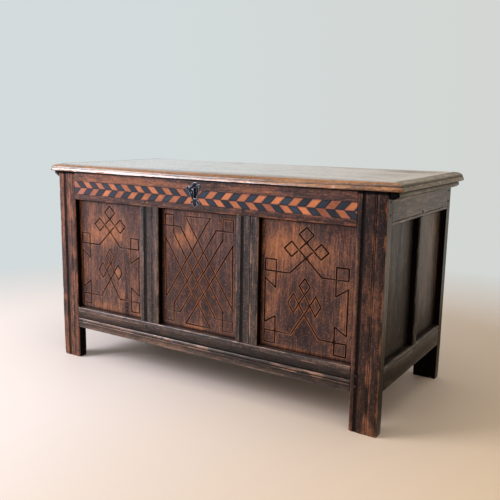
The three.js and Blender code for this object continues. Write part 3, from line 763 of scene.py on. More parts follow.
class Finishes:
    """All materials of the coffer, each made once."""

    FRAME = OakFinish("oak_frame", deep="1a0f0b", middle="4a2a1f", pale="764836", rubbed="ac6842",
                      patchiness=0.8, coat=0.22, smoke="2b1f22", gloss=0.3)
    LOW = OakFinish("oak_frame_low", deep="181211", middle="41312a", pale="685043", rubbed="946e58",
                    patchiness=0.8, coat=0.4, coat_roughness=0.2, smoke="272425")
    STILE_DARK = OakFinish("oak_stile_right", deep="0e0706", middle="2b1712", pale="492b1f", rubbed="86553c",
                           patchiness=0.7, coat=0.12, relief=0.8, smoke="1b1213", gloss=0.24)
    PANEL = OakFinish("oak_panel", deep="24120e", middle="5a3323", pale="825038", rubbed="aa683b",
                      patchiness=0.95, coat=0.3, smoke="2e2225", wax="170806", vein=0.25)
    # Darker and greyer oak for the end walls and faces on the coffer's right: partly their own colour, partly painted
    # shade.
    SIDE = OakFinish("oak_side", deep="0f0c09", middle="31261d", pale="564534", rubbed="705a46",
                     patchiness=0.6, coat=0.34, smoke="120c07", gloss=0.36, vein=0.9)
    END = OakFinish("oak_end", deep="2d261f", middle="504535", pale="766852", rubbed="958567",
                    patchiness=0.6, coat=0.32, roughness=0.45, smoke="30281e", gloss=0.4)
    LID = OakFinish("oak_lid", deep="38200f", middle="6c4120", pale="946031", rubbed="b87738",
                    patchiness=0.6, coat=1.0, roughness=0.36, coat_roughness=0.14, relief=0.35, gloss=0.5)
    INSIDE = OakFinish("oak_inside", deep="4a382a", middle="6b523e", pale="8a6d53", rubbed="9b7c5f",
                       patchiness=0.4, coat=0.0, roughness=0.75, smoke="3c2e24", relief=0.9)

    def __init__(self) -> None:
        """Builds the shared groups and the plain materials."""
        self.groups = {"grain": oak_grain_group(), "patina": patina_group()}
        self.made: dict[tuple[str, GrainRun], Material] = {}
        self.bog_oak = TileFinish("bog_oak", deep="0c1017", pale="2a3848", dirt="453036", edge="0b0708",
                                  gloss=0.3).make()
        self.fruitwood = TileFinish("fruitwood", deep="84431f", pale="d5804a", dirt="96605a", edge="8f5548",
                                    gloss=0.4).make()
        self.iron = IronFinish("wrought_iron").make()
        self.lock_iron = IronFinish("escutcheon_iron", black="12151c", steel="a4acba", rubbed=0.61).make()

    def oak(self, finish: OakFinish, run: GrainRun) -> Material:
        """The material of an oak finish, made the first time that it is asked for.

        Args:
            finish: The finish.
            run: Which way its grain runs.

        Returns:
            The material.
        """
        key = (finish.name, run)
        if key not in self.made:
            self.made[key] = finish.make(run, self.groups)
        return self.made[key]


# ---------------------------------------------------------------------------------------------
# Boards


@dataclass(frozen=True)
class Place:
    """Where a wall stands: the turn about Z and the middle of its outer face at the floor, in mm."""

    turn: float
    at: Point2

    def world(self, rows: np.ndarray) -> np.ndarray:
        """Takes places on the wall to the row's frame.

        Args:
            rows: Rows of (across, depth, height) in mm.

        Returns:
            Rows of (x, y, z) in metres.
        """
        cos, sin = math.cos(self.turn), math.sin(self.turn)
        x = rows[:, 0] * cos - rows[:, 1] * sin + self.at[0]
        y = rows[:, 0] * sin + rows[:, 1] * cos + self.at[1]
        return np.stack([x, y, rows[:, 2]], axis=1) * MM

    def world_outline(self, rows: np.ndarray) -> np.ndarray:
        """Takes rows of (across, height, depth) in mm to metres."""
        return self.world(rows[:, [0, 2, 1]])

    def out(self) -> Point2:
        """The direction that the wall faces."""
        return math.sin(self.turn), -math.cos(self.turn)


@dataclass
class Profile:
    """A board's section in (across, depth), drawn point by point.

    Each point carries its wear, its dirt and painted shade, how far it gives to knocks, and how
    much of its depth is a moulding that may be stopped.
    """

    rows: list[tuple[float, ...]] = field(default_factory=list)

    def to(self, across: float, depth: float, wear: float = 0, grime: float = 0, give: float = 0.25,
           cut: float = 0) -> "Profile":
        """Adds a point."""
        self.rows.append((across, depth, wear, grime, give, cut))
        return self

    def corner(self, across: float, depth: float, radius: float, start: float, wear: float = 1,
               give: float = 1, cut: float = 0) -> "Profile":
        """Rounds a convex corner.

        Args:
            across: The rounding's middle across.
            depth: Its middle in depth.
            radius: Its radius.
            start: The angle that it starts at, in quarter turns.
            wear: How worn it looks.
            give: How far knocks may reach.
            cut: The moulding's share.

        Returns:
            The profile.
        """
        for i in range(5):
            angle = (start + i / 4) * math.pi / 2
            self.to(across + radius * math.cos(angle), depth + radius * math.sin(angle),
                    wear * (1 if 0 < i < 4 else 0.55), 0, give * (1 if 0 < i < 4 else 0.6), cut)
        return self

    def hollow(self, left: float, right: float, deep: float) -> "Profile":
        """Adds a channel.

        Args:
            left: Its left side.
            right: Its right side.
            deep: Its depth.

        Returns:
            The profile.
        """
        middle, half, parts = (left + right) / 2, (right - left) / 2, 8
        for i in range(parts + 1):
            angle = math.pi * i / parts
            look = (0.5, 0.15, 0.5) if i in (0, parts) else (0, 0.4 + 0.32 * math.sin(angle), 0.1)
            self.to(middle - half * math.cos(angle), deep * math.sin(angle), *look)
        return self

    def bead(self, left: float, right: float, deep: float, quirk: float, rub: float) -> "Profile":
        """A half round between two quirks, its crown level with the face.

        Args:
            left: Its left side.
            right: Its right side.
            deep: The quirks' depth.
            quirk: Their width.
            rub: How worn the edges beside it are.

        Returns:
            The profile.
        """
        middle, half = (left + right) / 2, (right - left) / 2 - quirk
        self.to(left - 2.4, 0, rub / 2, 0, 0.3).to(left, 0, rub, 0, 0.5).to(left + quirk, deep, 0.1, 0.7, 0.05)
        for i in range(1, 7):
            angle = math.pi * i / 7
            self.to(middle - half * math.cos(angle), deep - deep * math.sin(angle) * 0.96,
                    0.35 + 0.65 * math.sin(angle) ** 2, 0, 0.4)
        return (self.to(right - quirk, deep, 0.1, 0.7, 0.05).to(right, 0, rub, 0, 0.5)
                .to(right + 2.4, 0, rub / 2, 0, 0.3))

    def table(self, step: float) -> np.ndarray:
        """The section with its long flats divided.

        Args:
            step: The longest part.

        Returns:
            A row for each point, as in the profile.
        """
        rows = np.array(self.rows)
        made = []
        for here, there in zip(rows, np.roll(rows, -1, axis=0)):
            parts = max(1, math.ceil(math.hypot(*(there[:2] - here[:2])) / step))
            for part in range(parts):
                row = here + (there - here) * part / parts
                if part:
                    row[2], row[4] = 0, min(here[4], there[4], 0.25)
                made.append(row)
        return np.array(made)


@dataclass
class Board:
    """A straight framed member: a section run up or along a wall.

    Attributes:
        name: The CAD node that it stands for, and its own name.
        profile: Its section, with the outer face at depth 0.
        low: Where it starts, in mm up or along the wall.
        high: Where it ends.
        place: Its wall.
        upright: Whether it runs up the wall.
        seed: Which noise.
        round_low: How rounded its first end is.
        round_high: How rounded its last end is.
        knocks: How deep knocks go at an edge.
        stops: Middle and half length of the places where its moulding stops.
        foot: How far its foot is worn.
        sway: How far it leans sideways at its low end.
        patches: Soft patches of tone, in (across, height) of the wall.
        step: Length of its parts.
    """

    name: str
    profile: Profile
    low: float
    high: float
    place: Place
    upright: bool
    seed: int
    round_low: float = 0.7
    round_high: float = 0.7
    knocks: float = 1.0
    stops: Sequence[Point2] = ()
    foot: float = 0.0
    sway: float = 0.0
    patches: Patches = ()
    step: float = 5.0

    def stations(self) -> tuple[np.ndarray, np.ndarray]:
        """Divides the board's length, more finely at its rounded ends.

        Returns:
            Places along the board, and how far its section draws in at each.
        """
        length = self.high - self.low
        marks, insets = [], []
        for radius, turn in ((self.round_low, 1), (self.round_high, -1)):
            for part in (0, 0.12, 0.35, 0.68, 1):
                reach = radius * part
                draw = radius - math.sqrt(max(0.0, radius * radius - (radius - reach) ** 2))
                marks.append(self.low + reach if turn > 0 else self.high - reach)
                insets.append(draw)
        count = max(2, round((length - self.round_low - self.round_high) / self.step))
        inner = np.linspace(self.low + self.round_low, self.high - self.round_high, count + 1)[1:-1]
        marks, insets = np.append(marks, inner), np.append(insets, np.zeros(len(inner)))
        order = np.argsort(marks, kind="stable")
        return marks[order], insets[order]

    def build(self) -> Piece:
        """Makes the board's mesh with its wear, its dirt and painted shade, and its tone.

        Returns:
            The board.
        """
        table = self.profile.table(7)
        size = len(table)
        points = table[:, :2]
        ahead, behind = np.roll(points, -1, axis=0), np.roll(points, 1, axis=0)
        tangent = ahead - behind
        tangent /= np.maximum(np.linalg.norm(tangent, axis=1, keepdims=True), 1e-6)
        area = np.sum(points[:, 0] * ahead[:, 1] - points[:, 1] * ahead[:, 0])
        normal = np.stack([tangent[:, 1], -tangent[:, 0]], axis=1) * (1 if area > 0 else -1)
        marks, insets = self.stations()
        middle = (points.min(axis=0) + points.max(axis=0)) / 2
        reach = (points.max(axis=0) - points.min(axis=0)) / 2
        count = len(marks)
        along = np.repeat(marks, size)
        spot = np.tile(points, (count, 1))
        out = np.tile(normal, (count, 1))
        wear, grime, give, cut = (np.tile(table[:, column], count) for column in range(2, 6))
        stopped = np.zeros(len(along))
        for at, half in self.stops:
            stopped = np.maximum(stopped, np.clip(1.6 - np.abs(along - at) / half, 0, 1))
        spot[:, 1] -= cut * stopped
        spot = middle + (spot - middle) * (1 - np.repeat(insets, size)[:, None] / reach)
        noise_at = np.stack([spot[:, 0] * 2.2, spot[:, 1] * 2.2, along], axis=1) + self.seed * 31.7
        slow = 0.5 + 0.5 * ripple(noise_at, 60, self.seed)
        quick = 0.5 + 0.5 * ripple(noise_at, 11, self.seed + 5)
        nick = np.maximum(0, ripple(noise_at, 16, self.seed + 9) - 0.45) * 2.6
        bite = give * self.knocks * (0.5 * slow + 0.35 * quick + 1.1 * nick)
        if self.foot:
            near = np.exp(-(along - self.low) / 16)
            bite += give * self.foot * near * (0.35 + 0.65 * slow)
            bite += give * 1.2 * np.exp(-(along - self.low) / 55) * slow
            wear = np.maximum(wear, wear * 0.4 + 0.8 * near * (quick > 0.35))
        spot -= out * bite[:, None]
        if self.sway:
            spot[:, 0] += self.sway * (self.high - along) / (self.high - self.low)
        rubbed = np.clip(0.75 + 1.5 * ripple(noise_at, 42, self.seed + 11), 0.1, 1.5)
        level = np.clip(wear * rubbed * (0.3 + 0.9 * quick + 0.6 * nick), 0, 1)
        rows = (np.stack([spot[:, 0], spot[:, 1], along], axis=1) if self.upright
                else np.stack([along, spot[:, 1], spot[:, 0]], axis=1))
        tone = blobs(rows[:, 0], rows[:, 2], self.patches)
        faces = ring_faces(count, size) + [list(range(size)), list(range((count - 1) * size, count * size))]
        masks = {"wear": level, "grime": grime, "tone": tone, "board": np.full(len(rows), self.seed * 3.7)}
        return close_mesh(f"{self.name}_oak", self.place.world(rows), faces, masks, crease=32)


@dataclass
class Carving:
    """V cuts across a panel, as straight strokes in (across, height) of the wall."""

    strokes: list[tuple[Point2, Point2]] = field(default_factory=list)
    half_width: float = 2.2
    deep: float = 2.6
    gap: float = 4.4
    dirt: float = 0.95
    lip: float = 0.6

    def run(self, *points: Point2) -> "Carving":
        """Adds strokes from point to point."""
        self.strokes += list(zip(points, points[1:]))
        return self

    def broken(self, start: Point2, end: Point2, under: Sequence[Point2]) -> "Carving":
        """Adds a stroke that passes under others.

        Args:
            start: Where it starts.
            end: Where it ends.
            under: Where the others cross it.

        Returns:
            The carving.
        """
        (x0, z0), (x1, z1) = start, end
        length = math.hypot(x1 - x0, z1 - z0)
        way = ((x1 - x0) / length, (z1 - z0) / length)
        cuts = sorted(((x - x0) * way[0] + (z - z0) * way[1]) for x, z in under)
        edges = [0.0]
        for cut in cuts:
            edges += [cut - self.gap, cut + self.gap]
        edges.append(length)
        for a, b in zip(edges[::2], edges[1::2]):
            if b - a > 2:
                self.strokes.append(((x0 + way[0] * a, z0 + way[1] * a), (x0 + way[0] * b, z0 + way[1] * b)))
        return self

    def knot(self, middle: Point2, half: Point2, top: float, feet: tuple[Point2, Point2]) -> "Carving":
        """Adds four lozenges woven of six lines, on two legs.

        Args:
            middle: The middle lozenge's centre.
            half: Half of a lozenge's width and height.
            top: Half the height of the top lozenge.
            feet: Where the left and right legs end.

        Returns:
            The carving.
        """
        x, z = middle
        dx, dz = half
        left, right, low, high = (x - dx, z), (x + dx, z), (x, z - dz), (x, z + dz)
        peak = z + dz + 2 * top
        self.broken((x - 2 * dx, z - dz), high, [left]).run(high, (x + dx, z + dz + top))
        self.run(feet[0], low).broken(low, (x + 2 * dx, z + dz), [right])
        self.broken((x - dx, z + dz + top), (x, z + dz), [(x, z + dz)]).broken(high, (x + 2 * dx, z - dz), [high])
        self.broken((x - 2 * dx, z + dz), low, [low]).broken(low, feet[1], [low])
        self.run((x - dx, z + dz + top), (x, peak), (x + dx, z + dz + top))
        self.run((x - 2 * dx, z + dz), (x - 3 * dx, z), (x - 2 * dx, z - dz))
        return self.run((x + 2 * dx, z + dz), (x + 3 * dx, z), (x + 2 * dx, z - dz))

    def border(self, outer: float, inner: float, foot: Sequence[float], rows: Sequence[float]) -> "Carving":
        """Adds one side's two squares, its flags and the lines to the knots.

        Args:
            outer: The outer upright line.
            inner: The inner upright line.
            foot: Where the upper and the lower knot's legs end, across.
            rows: Heights of the upper square's top and under edge, the upper flag's outer and inner
                ends, the lower flag's inner and outer ends, and the lower square's top and under edge.

        Returns:
            The carving.
        """
        top, shelf, high_out, high_in, low_in, low_out, sill, base = rows
        self.run((foot[0], shelf), (outer, shelf), (outer, top), (inner, top), (inner, shelf + 1.5))
        self.run((inner, shelf - self.gap), (inner, high_in), (outer, high_out), (outer, low_out), (inner, low_in))
        self.run((inner, low_in), (inner, base), (outer, base), (outer, sill))
        return self.broken((foot[1], sill), (outer, sill), [(inner, sill)])


def knot_panel(x: float, upper: float, lower: float, low_half: Point2, low_top: float,
               edges: Sequence[float], feet: Sequence[float], rows: Sequence[float], dirt: float = 0.98) -> Carving:
    """The outer panels' carving.

    Args:
        x: The middle of the knots.
        upper: Height of the upper knot's middle.
        lower: Height of the lower knot's middle.
        low_half: Half width and height of the lower knot's lozenges.
        low_top: Half height of its top lozenge.
        edges: The four upright lines of the border from left to right.
        feet: Feet of the upper knot, left and right, then of the lower one.
        rows: Heights as in Carving.border.
        dirt: How dark its cuts are painted.

    Returns:
        The carving.
    """
    made = Carving(dirt=dirt)
    made.knot((x, upper), (21.6, 20.3), 20.3, ((feet[0], rows[1]), (feet[1], rows[1])))
    made.knot((x - 1, lower), low_half, low_top, ((feet[2], rows[6]), (feet[3], rows[6])))
    made.border(edges[0], edges[1], (feet[0], feet[2]), rows)
    return made.border(edges[3], edges[2], (feet[1], feet[3]), rows)


def lattice_panel() -> Carving:
    """The middle panel's carving: two woven sets of four slanting lines, and a border.

    Returns:
        The carving.
    """
    made = Carving(gap=5, dirt=0.8, lip=0.6)
    falling = [((-52.5, 506.3), (110.6, 258.8)), ((-74.5, 479.1), (79.2, 244.7)),
               ((-99.4, 458.0), (51.6, 223.6)), ((-129.4, 441.1), (33.8, 190.3))]
    rising = [((32.3, 510.9), (-126.6, 266.3)), ((53.4, 479.1), (-98.0, 245.6)),
              ((74.5, 450.0), (-74.5, 225.0)), ((110.6, 439.7), (-53.4, 191.3))]
    meets: dict[tuple[int, int], Point2] = {}
    for i, (a, b) in enumerate(falling):
        for j, (c, d) in enumerate(rising):
            r, s = (b[0] - a[0], b[1] - a[1]), (d[0] - c[0], d[1] - c[1])
            t = ((c[0] - a[0]) * s[1] - (c[1] - a[1]) * s[0]) / (r[0] * s[1] - r[1] * s[0])
            meets[i, j] = (a[0] + r[0] * t, a[1] + r[1] * t)
    for i, (a, b) in enumerate(falling):
        made.broken(a, b, [meets[i, j] for j in range(4) if (i + j) % 2 == 0])
    for j, (c, d) in enumerate(rising):
        made.broken(c, d, [meets[i, j] for i in range(4) if (i + j) % 2 == 1])
    made.run((-52.5, 510.9), (33.8, 510.9)).run((-53.4, 189.8), (38.0, 189.8))
    for outer, inner, leg, drop, rise in ((-131.0, -99.4, -74.5, 458.0, 245.6), (111.8, 77.0, 53.4, 450.0, 244.7)):
        made.run((outer, 479.1), (leg, 479.1)).run((outer, 221.3), (leg + (1 if leg < 0 else -2), 221.3))
        made.run((inner, 473.0), (inner, drop)).run((inner, 221.3), (inner, rise))
        made.run((outer * 0.99, 440.5), (outer * 0.99, 262.5))
        made.run((outer, 479.1), (outer, 512.5), (inner, 512.5), (inner, 479.1))
        made.run((outer, 221.3), (outer, 190.3), (inner, 190.3), (inner, 221.3))
    return made


@dataclass
class Panel:
    """A panel held in its frame: carved or plain outside, feathered round its edges inside.

    Attributes:
        name: The CAD node that it stands for, and its own name.
        left: Its opening's left side.
        right: Its opening's right side.
        low: Its opening's under edge.
        high: Its opening's top.
        place: Its wall.
        seed: Which noise.
        carving: Its strokes, if it has any.
        patches: Soft patches of tone.
        depth: How deep its face lies behind the frame's.
        thick: Its thickness inside the feathered edge.
        spacing: How far the mesh's points lie apart.
        tongue: The thickness of its edge, which stands in the grooves.
        feather: How wide its bevelled back is.
    """

    name: str
    left: float
    right: float
    low: float
    high: float
    place: Place
    seed: int
    carving: Carving | None = None
    patches: Patches = ()
    depth: float = 17.3
    thick: float = 12.0
    spacing: float = 9.0
    tongue: float = 7.4
    feather: float = 28.0

    def strokes(self) -> tuple[np.ndarray, np.ndarray]:
        """The carving's strokes, divided and with a hand's slight wander.

        Returns:
            The starts and ends of the parts.
        """
        starts, ends = [], []
        for (x0, z0), (x1, z1) in self.carving.strokes if self.carving else ():
            parts = max(1, round(math.hypot(x1 - x0, z1 - z0) / 7))
            line = np.linspace((x0, z0), (x1, z1), parts + 1)
            wander = np.stack([np.zeros(len(line)), line[:, 0], line[:, 1]], axis=1)
            line = line + 0.45 * np.stack([ripple(wander, 24, self.seed), ripple(wander, 24, self.seed + 3)], axis=1)
            starts.append(line[:-1])
            ends.append(line[1:])
        return (np.concatenate(starts), np.concatenate(ends)) if starts else (np.zeros((0, 2)), np.zeros((0, 2)))

    def outline(self) -> list[Point2]:
        """Goes round the mesh's edge, a millimetre inside the grooves.

        Returns:
            Places on it in order.
        """
        left, right, low, high = self.left - 1, self.right + 1, self.low - 1, self.high + 1
        wide, tall = round((right - left) / self.spacing), round((high - low) / self.spacing)
        return round_grid(np.linspace(left, right, wide + 1), np.linspace(low, high, tall + 1))

    def lay_out(self) -> tuple[np.ndarray, Faces, np.ndarray]:
        """Divides the face, with its strokes' edges and bottoms as edges of the mesh.

        Returns:
            Points, triangles, and the distance of each point from the nearest stroke.
        """
        starts, ends = self.strokes()
        points: list[Point2] = list(self.outline())
        edges = [(i, (i + 1) % len(points)) for i in range(len(points))]
        half = self.carving.half_width if self.carving else 0
        for a, b in zip(starts, ends):
            way = (b - a) / max(np.linalg.norm(b - a), 1e-9)
            side = np.array([-way[1], way[0]]) * half
            base = len(points)
            points += [tuple(end + side * share) for share in (0, 0.75, -0.75, 1, -1, 1.5, -1.5, 1.85, -1.85)
                       for end in (a, b)]
            edges += [(base + i, base + i + 1) for i in range(0, 18, 2)]
        spacing = self.spacing
        xs = np.arange(self.left + spacing / 2, self.right, spacing)
        zs = np.arange(self.low + spacing / 2, self.high, spacing)
        grid = np.array([(x + (spacing / 2 if row % 2 else 0), z) for row, z in enumerate(zs) for x in xs])
        grid = grid[grid[:, 0] < self.right - 1]
        grid = grid[distance(grid, starts, ends) > half * 1.85 + 1.2]
        points += [tuple(p) for p in grid]
        found, _, faces, *_ = delaunay_2d_cdt([Vector(p) for p in points], edges, [], 0, 0.02)
        flat = np.array([tuple(v) for v in found])
        return flat, faces, distance(flat, starts, ends)

    def build(self) -> Piece:
        """Makes the panel's mesh with its dirt, painted shade and tone.

        Returns:
            The panel.
        """
        flat, faces, gap = self.lay_out()
        count = len(flat)
        spot = np.stack([flat[:, 0], np.full(count, self.seed * 50.0), flat[:, 1]], axis=1)
        plane = 0.3 * ripple(spot * np.array([1, 1, 0.25]), 30, self.seed) + 0.16 * ripple(spot, 12, self.seed + 2)
        cut = np.zeros(count)
        if self.carving:
            uneven = 1 + 0.22 * ripple(spot, 19, self.seed + 4)
            cut = self.carving.deep * uneven * np.sqrt(np.clip(1 - (gap / self.carving.half_width) ** 2, 0, 1))
        edge = np.minimum.reduce([flat[:, 0] - self.left, self.right - flat[:, 0],
                                  flat[:, 1] - self.low, self.high - flat[:, 1]])
        face = self.depth + 0.5 + plane + cut
        bevel = np.where(edge < 2, 0, np.clip((edge - 2) / self.feather, 0, 1))
        rear = self.depth + self.tongue + (self.thick - self.tongue) * bevel
        rows, solid = slab(flat, faces, face, rear)
        # Painted shade along the panel's edges, in the reveals of its frame.
        corner = np.clip(1.25 - edge / 6, 0, 1)
        half = self.carving.half_width if self.carving else 1
        tone = blobs(flat[:, 0], flat[:, 1], self.patches)
        smoky_and_shaded = np.clip(-tone, 0, 1)
        # How dark the cuts are painted, less where the panel is already dark.
        dirt, rubbed_and_lit = (self.carving.dirt, self.carving.lip) if self.carving else (0, 0)
        held = np.clip(dirt - 0.35 * smoky_and_shaded + 0.25 * ripple(spot, 33, self.seed + 6), 0, 1)
        grime = np.clip(np.clip((half - gap) / (0.2 * half), 0, 1) * held + 0.85 * corner, 0, 1)
        # The cuts' lips are lightened: partly rubbed wear, partly a painted highlight.
        lip = np.clip(1.6 - np.abs(gap / half - 1.25) / 0.4, 0, 1) * np.clip(rubbed_and_lit + 0.35 * smoky_and_shaded, 0, 1)
        zero = np.zeros(count)
        masks = {"wear": np.concatenate([lip, zero]), "grime": np.concatenate([grime, zero]),
                 "tone": np.concatenate([tone, zero]), "board": np.full(2 * count, self.seed * 3.7)}
        return close_mesh(f"{self.name}_oak", self.place.world(rows), solid, masks, crease=28)


# ---------------------------------------------------------------------------------------------
# The carcass


def finish_piece(piece: Piece, node: str, body: str, outside: Material,
                 inside: Material | None = None, rear: FaceTest | None = None,
                 flank: Material | None = None, side: FaceTest | None = None) -> None:
    """Dresses a piece and sets it on its body in place of a CAD node.

    Args:
        piece: The piece.
        node: The CAD node that it stands for.
        body: The CAD body that it rides on.
        outside: Its finish.
        inside: The finish of its faces inside the coffer.
        rear: Says whether a face's middle, in metres, is one of these.
        flank: The finish of its faces round the corner.
        side: Says whether a face's middle is one of those.
    """
    piece.data.materials.clear()
    piece.data.materials.append(outside)
    for number, (finish, test) in enumerate(((inside, rear), (flank, side)), 1):
        if finish and test:
            piece.data.materials.append(finish)
            for face in piece.data.polygons:
                if test(face.center):
                    face.material_index = number
    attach(piece, body)
    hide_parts(node)


@dataclass(frozen=True)
class Wall:
    """One wall of the coffer, in mm."""

    prefix: str
    place: Place
    span: Point2
    rise: float
    low_rail: float
    top_rail: float
    muntin: float
    shares: Sequence[float]
    muntin_names: Sequence[str]
    panel_names: Sequence[str]
    height: float = TOP_Z
    thick: float = 30.0

    def rows(self) -> tuple[float, float]:
        """The heights of the panels' under edge and top."""
        return self.rise + self.low_rail, self.height - self.top_rail

    def muntins(self) -> list[Point2]:
        """The left and right side of each muntin."""
        wide = self.span[1] - self.span[0]
        return [(self.span[0] + s * wide - self.muntin / 2, self.span[0] + s * wide + self.muntin / 2)
                for s in self.shares]

    def bays(self) -> list[Point2]:
        """The left and right side of each panel's opening."""
        edges = [self.span[0], *(edge for pair in self.muntins() for edge in pair), self.span[1]]
        return list(zip(edges[::2], edges[1::2]))


@dataclass
class Carcass:
    """The framed and panelled box: its sizes, and what is built from them."""

    width: float = 1125.0
    depth: float = 522.0
    height: float = TOP_Z
    shift: float = -2.15
    stile_thick: float = 32.0
    front_left: float = 70.5
    front_right: float = 77.5
    rear: float = 72.0
    fit: float = 0.3

    def __post_init__(self) -> None:
        """Lays out the four walls."""
        wide, deep = self.width / 2, self.depth / 2
        long = dict(rise=104.0, low_rail=70.0, top_rail=89.0, muntin=71.0)
        short = dict(rise=112.5, low_rail=64.0, top_rail=83.5, muntin=26.0)
        side = (-deep + self.stile_thick, deep - self.stile_thick)
        self.front = Wall("front", Place(0, (0, -deep + self.shift)),
                          (-wide + self.front_left, wide - self.front_right), shares=(0.319, 0.676),
                          muntin_names=("_left", "_right"), panel_names=("left", "middle", "right"), **long)
        self.back = Wall("back", Place(math.pi, (0, deep + self.shift)),
                         (-wide + self.rear, wide - self.rear), shares=(0.324, 0.681),
                         muntin_names=("_right", "_left"), panel_names=("right", "middle", "left"), **long)
        self.right = Wall("side_right", Place(math.pi / 2, (wide, self.shift)), side, shares=(0.506,),
                          muntin_names=("",), panel_names=("front", "rear"), **short)
        self.left = Wall("side_left", Place(-math.pi / 2, (-wide, self.shift)), side, shares=(0.494,),
                         muntin_names=("",), panel_names=("rear", "front"), **short)

    def moulded(self, left: float, width: float, thick: float, channel: Point2, bead: Point2,
                arris: float = 2.2, dark: Point2 = (0.95, 0.95), rub: float = 1.4) -> Profile:
        """An upright's section with a scratched channel and bead.

        Args:
            left: Its left side.
            width: Its width.
            thick: Its thickness.
            channel: The channel's sides, as shares of the width.
            bead: The bead's sides, likewise.
            arris: How round its arrises are.
            dark: The painted shade on its left and right sides.
            rub: How worn the edges beside the bead are.

        Returns:
            The section.
        """
        made = Profile().corner(left + arris, arris, arris, 2)
        made.hollow(left + channel[0] * width, left + channel[1] * width, 3.0)
        made.bead(left + bead[0] * width, left + bead[1] * width, 1.7, 1.0, rub)
        return self.close(made.corner(left + width - arris, arris, arris, 3), left, left + width, thick, dark)

    def close(self, made: Profile, left: float, right: float, thick: float, dark: Point2 = (0.95, 0.95)) -> Profile:
        """Closes a section round its back, with painted shade on the sides that face the panels.

        Args:
            made: The section, drawn from its left arris to its right one.
            left: Its left side.
            right: Its right side.
            thick: Its thickness.
            dark: The painted shade on its left and right sides.

        Returns:
            The section.
        """
        made.to(right, 5, 0, dark[1] * 0.8, 0.1).to(right, 9, 0, dark[1], 0.1).to(right, thick - 1, 0, dark[1])
        made.to(right - 1, thick, 0.1).to(left + 1, thick, 0.1)
        return made.to(left, thick - 1, 0, dark[0]).to(left, 9, 0, dark[0], 0.1).to(left, 5, 0, dark[0] * 0.8, 0.1)

    def plain(self, left: float, width: float, thick: float, arris: Point2 = (1.8, 1.8),
              bead: float = 0, chamfer: float = 0, dark: Point2 = (0.95, 0.95)) -> Profile:
        """A plain section, or one with a scratched line or a stopped chamfer.

        Args:
            left: Its first side.
            width: Its width.
            thick: Its thickness.
            arris: How round its two arrises are.
            bead: How far the line lies from the first side, if any.
            chamfer: How wide the last side's chamfer is, if any.
            dark: The painted shade on both sides.

        Returns:
            The section.
        """
        made = Profile().corner(left + arris[0], arris[0], arris[0], 2)
        if bead:
            made.to(left + bead - 1.4, 0, 0.3).to(left + bead, 1.3, 0, 1, 0.05, 1.3).to(left + bead + 1.4, 0, 0.3)
        if chamfer:
            made.to(left + width - chamfer - 2.4, 0, 0.3).to(left + width - chamfer - 1, 1.4, 0, 1, 0.05, 1.4)
            made.to(left + width - chamfer, 0.3, 0.6, 0, 0.5, 0.3)
            made.to(left + width - chamfer / 2, 1.4, 0.3, 0, 0.3, 1.2)
            made.to(left + width - 0.8, 4.2, 0.6, 0, 0.5, 3.4).to(left + width, 5, 0.4, 0, 0.5, 3.8)
        else:
            made.corner(left + width - arris[1], arris[1], arris[1], 3)
        return self.close(made, left, left + width, thick, dark)

    def plinth(self, low: float, high: float, thick: float) -> Profile:
        """The front's lower rail: a flat, a sunk fascia, a half round and a sunk lower member.

        Args:
            low: Its under edge.
            high: Its top.
            thick: Its thickness.

        Returns:
            The section.
        """
        tall = high - low
        fascia, crown, bead = low + 0.81 * tall, low + 0.48 * tall, 9.0
        made = Profile()
        made.to(low, thick - 1, 0.1).to(low, 6, 0.2).corner(low + 3.5, 5.5, 3.5, 2, wear=0.8)
        made.to(low + 6, 2.2, 0.15, 0.2).to(crown - bead - 6.5, 2.2, 0, 0.5, 0.1)
        made.to(crown - bead - 4.2, 1.4, 0.9, 0, 0.4).to(crown - bead - 2.2, 1.4, 0.9, 0, 0.4)
        made.to(crown - bead - 1, 3.3, 0, 1, 0.02)
        for i in range(9):
            angle = math.pi * (i / 8)
            made.to(crown - bead / 2 * (1 + math.cos(angle)), 3.4 - 3.3 * math.sin(angle),
                    0.95 * math.sin(angle) ** 0.7, 0.5 if i in (0, 8) else 0, 0.5)
        made.to(crown + 1.2, 3.2, 0, 1, 0.02).to(crown + 3, 2.1, 0, 0.7, 0.05)
        made.to(fascia - 1.8, 2.1, 0, 0.4, 0.1).to(fascia, 0.1, 0.7, 0, 0.5)
        made.corner(high - 2.6, 2.6, 2.6, 3, wear=1).to(high, thick - 1, 0.1)
        return made.to(high - 1, thick, 0.1).to(low + 1, thick, 0.1)

    def inside_of(self, wall: Wall, depth: float) -> FaceTest:
        """Makes a test for faces deeper than a depth.

        Args:
            wall: The wall.
            depth: How far behind its outer face, in mm.

        Returns:
            The test.
        """
        out = wall.place.out()
        at = wall.place.at

        def test(middle: Vector) -> bool:
            """Whether this face's middle is inside."""
            return (at[0] * MM - middle.x) * out[0] + (at[1] * MM - middle.y) * out[1] > depth * MM
        return test

    def stile_inside(self, middle: Vector) -> bool:
        """Whether a stile's face lies inside the box, above its floor and behind its walls."""
        wide, deep = self.width / 2 - 31, self.depth / 2 - 31.5
        return middle.z > INSIDE_Z and abs(middle.x) < wide * MM and abs(middle.y - self.shift * MM) < deep * MM

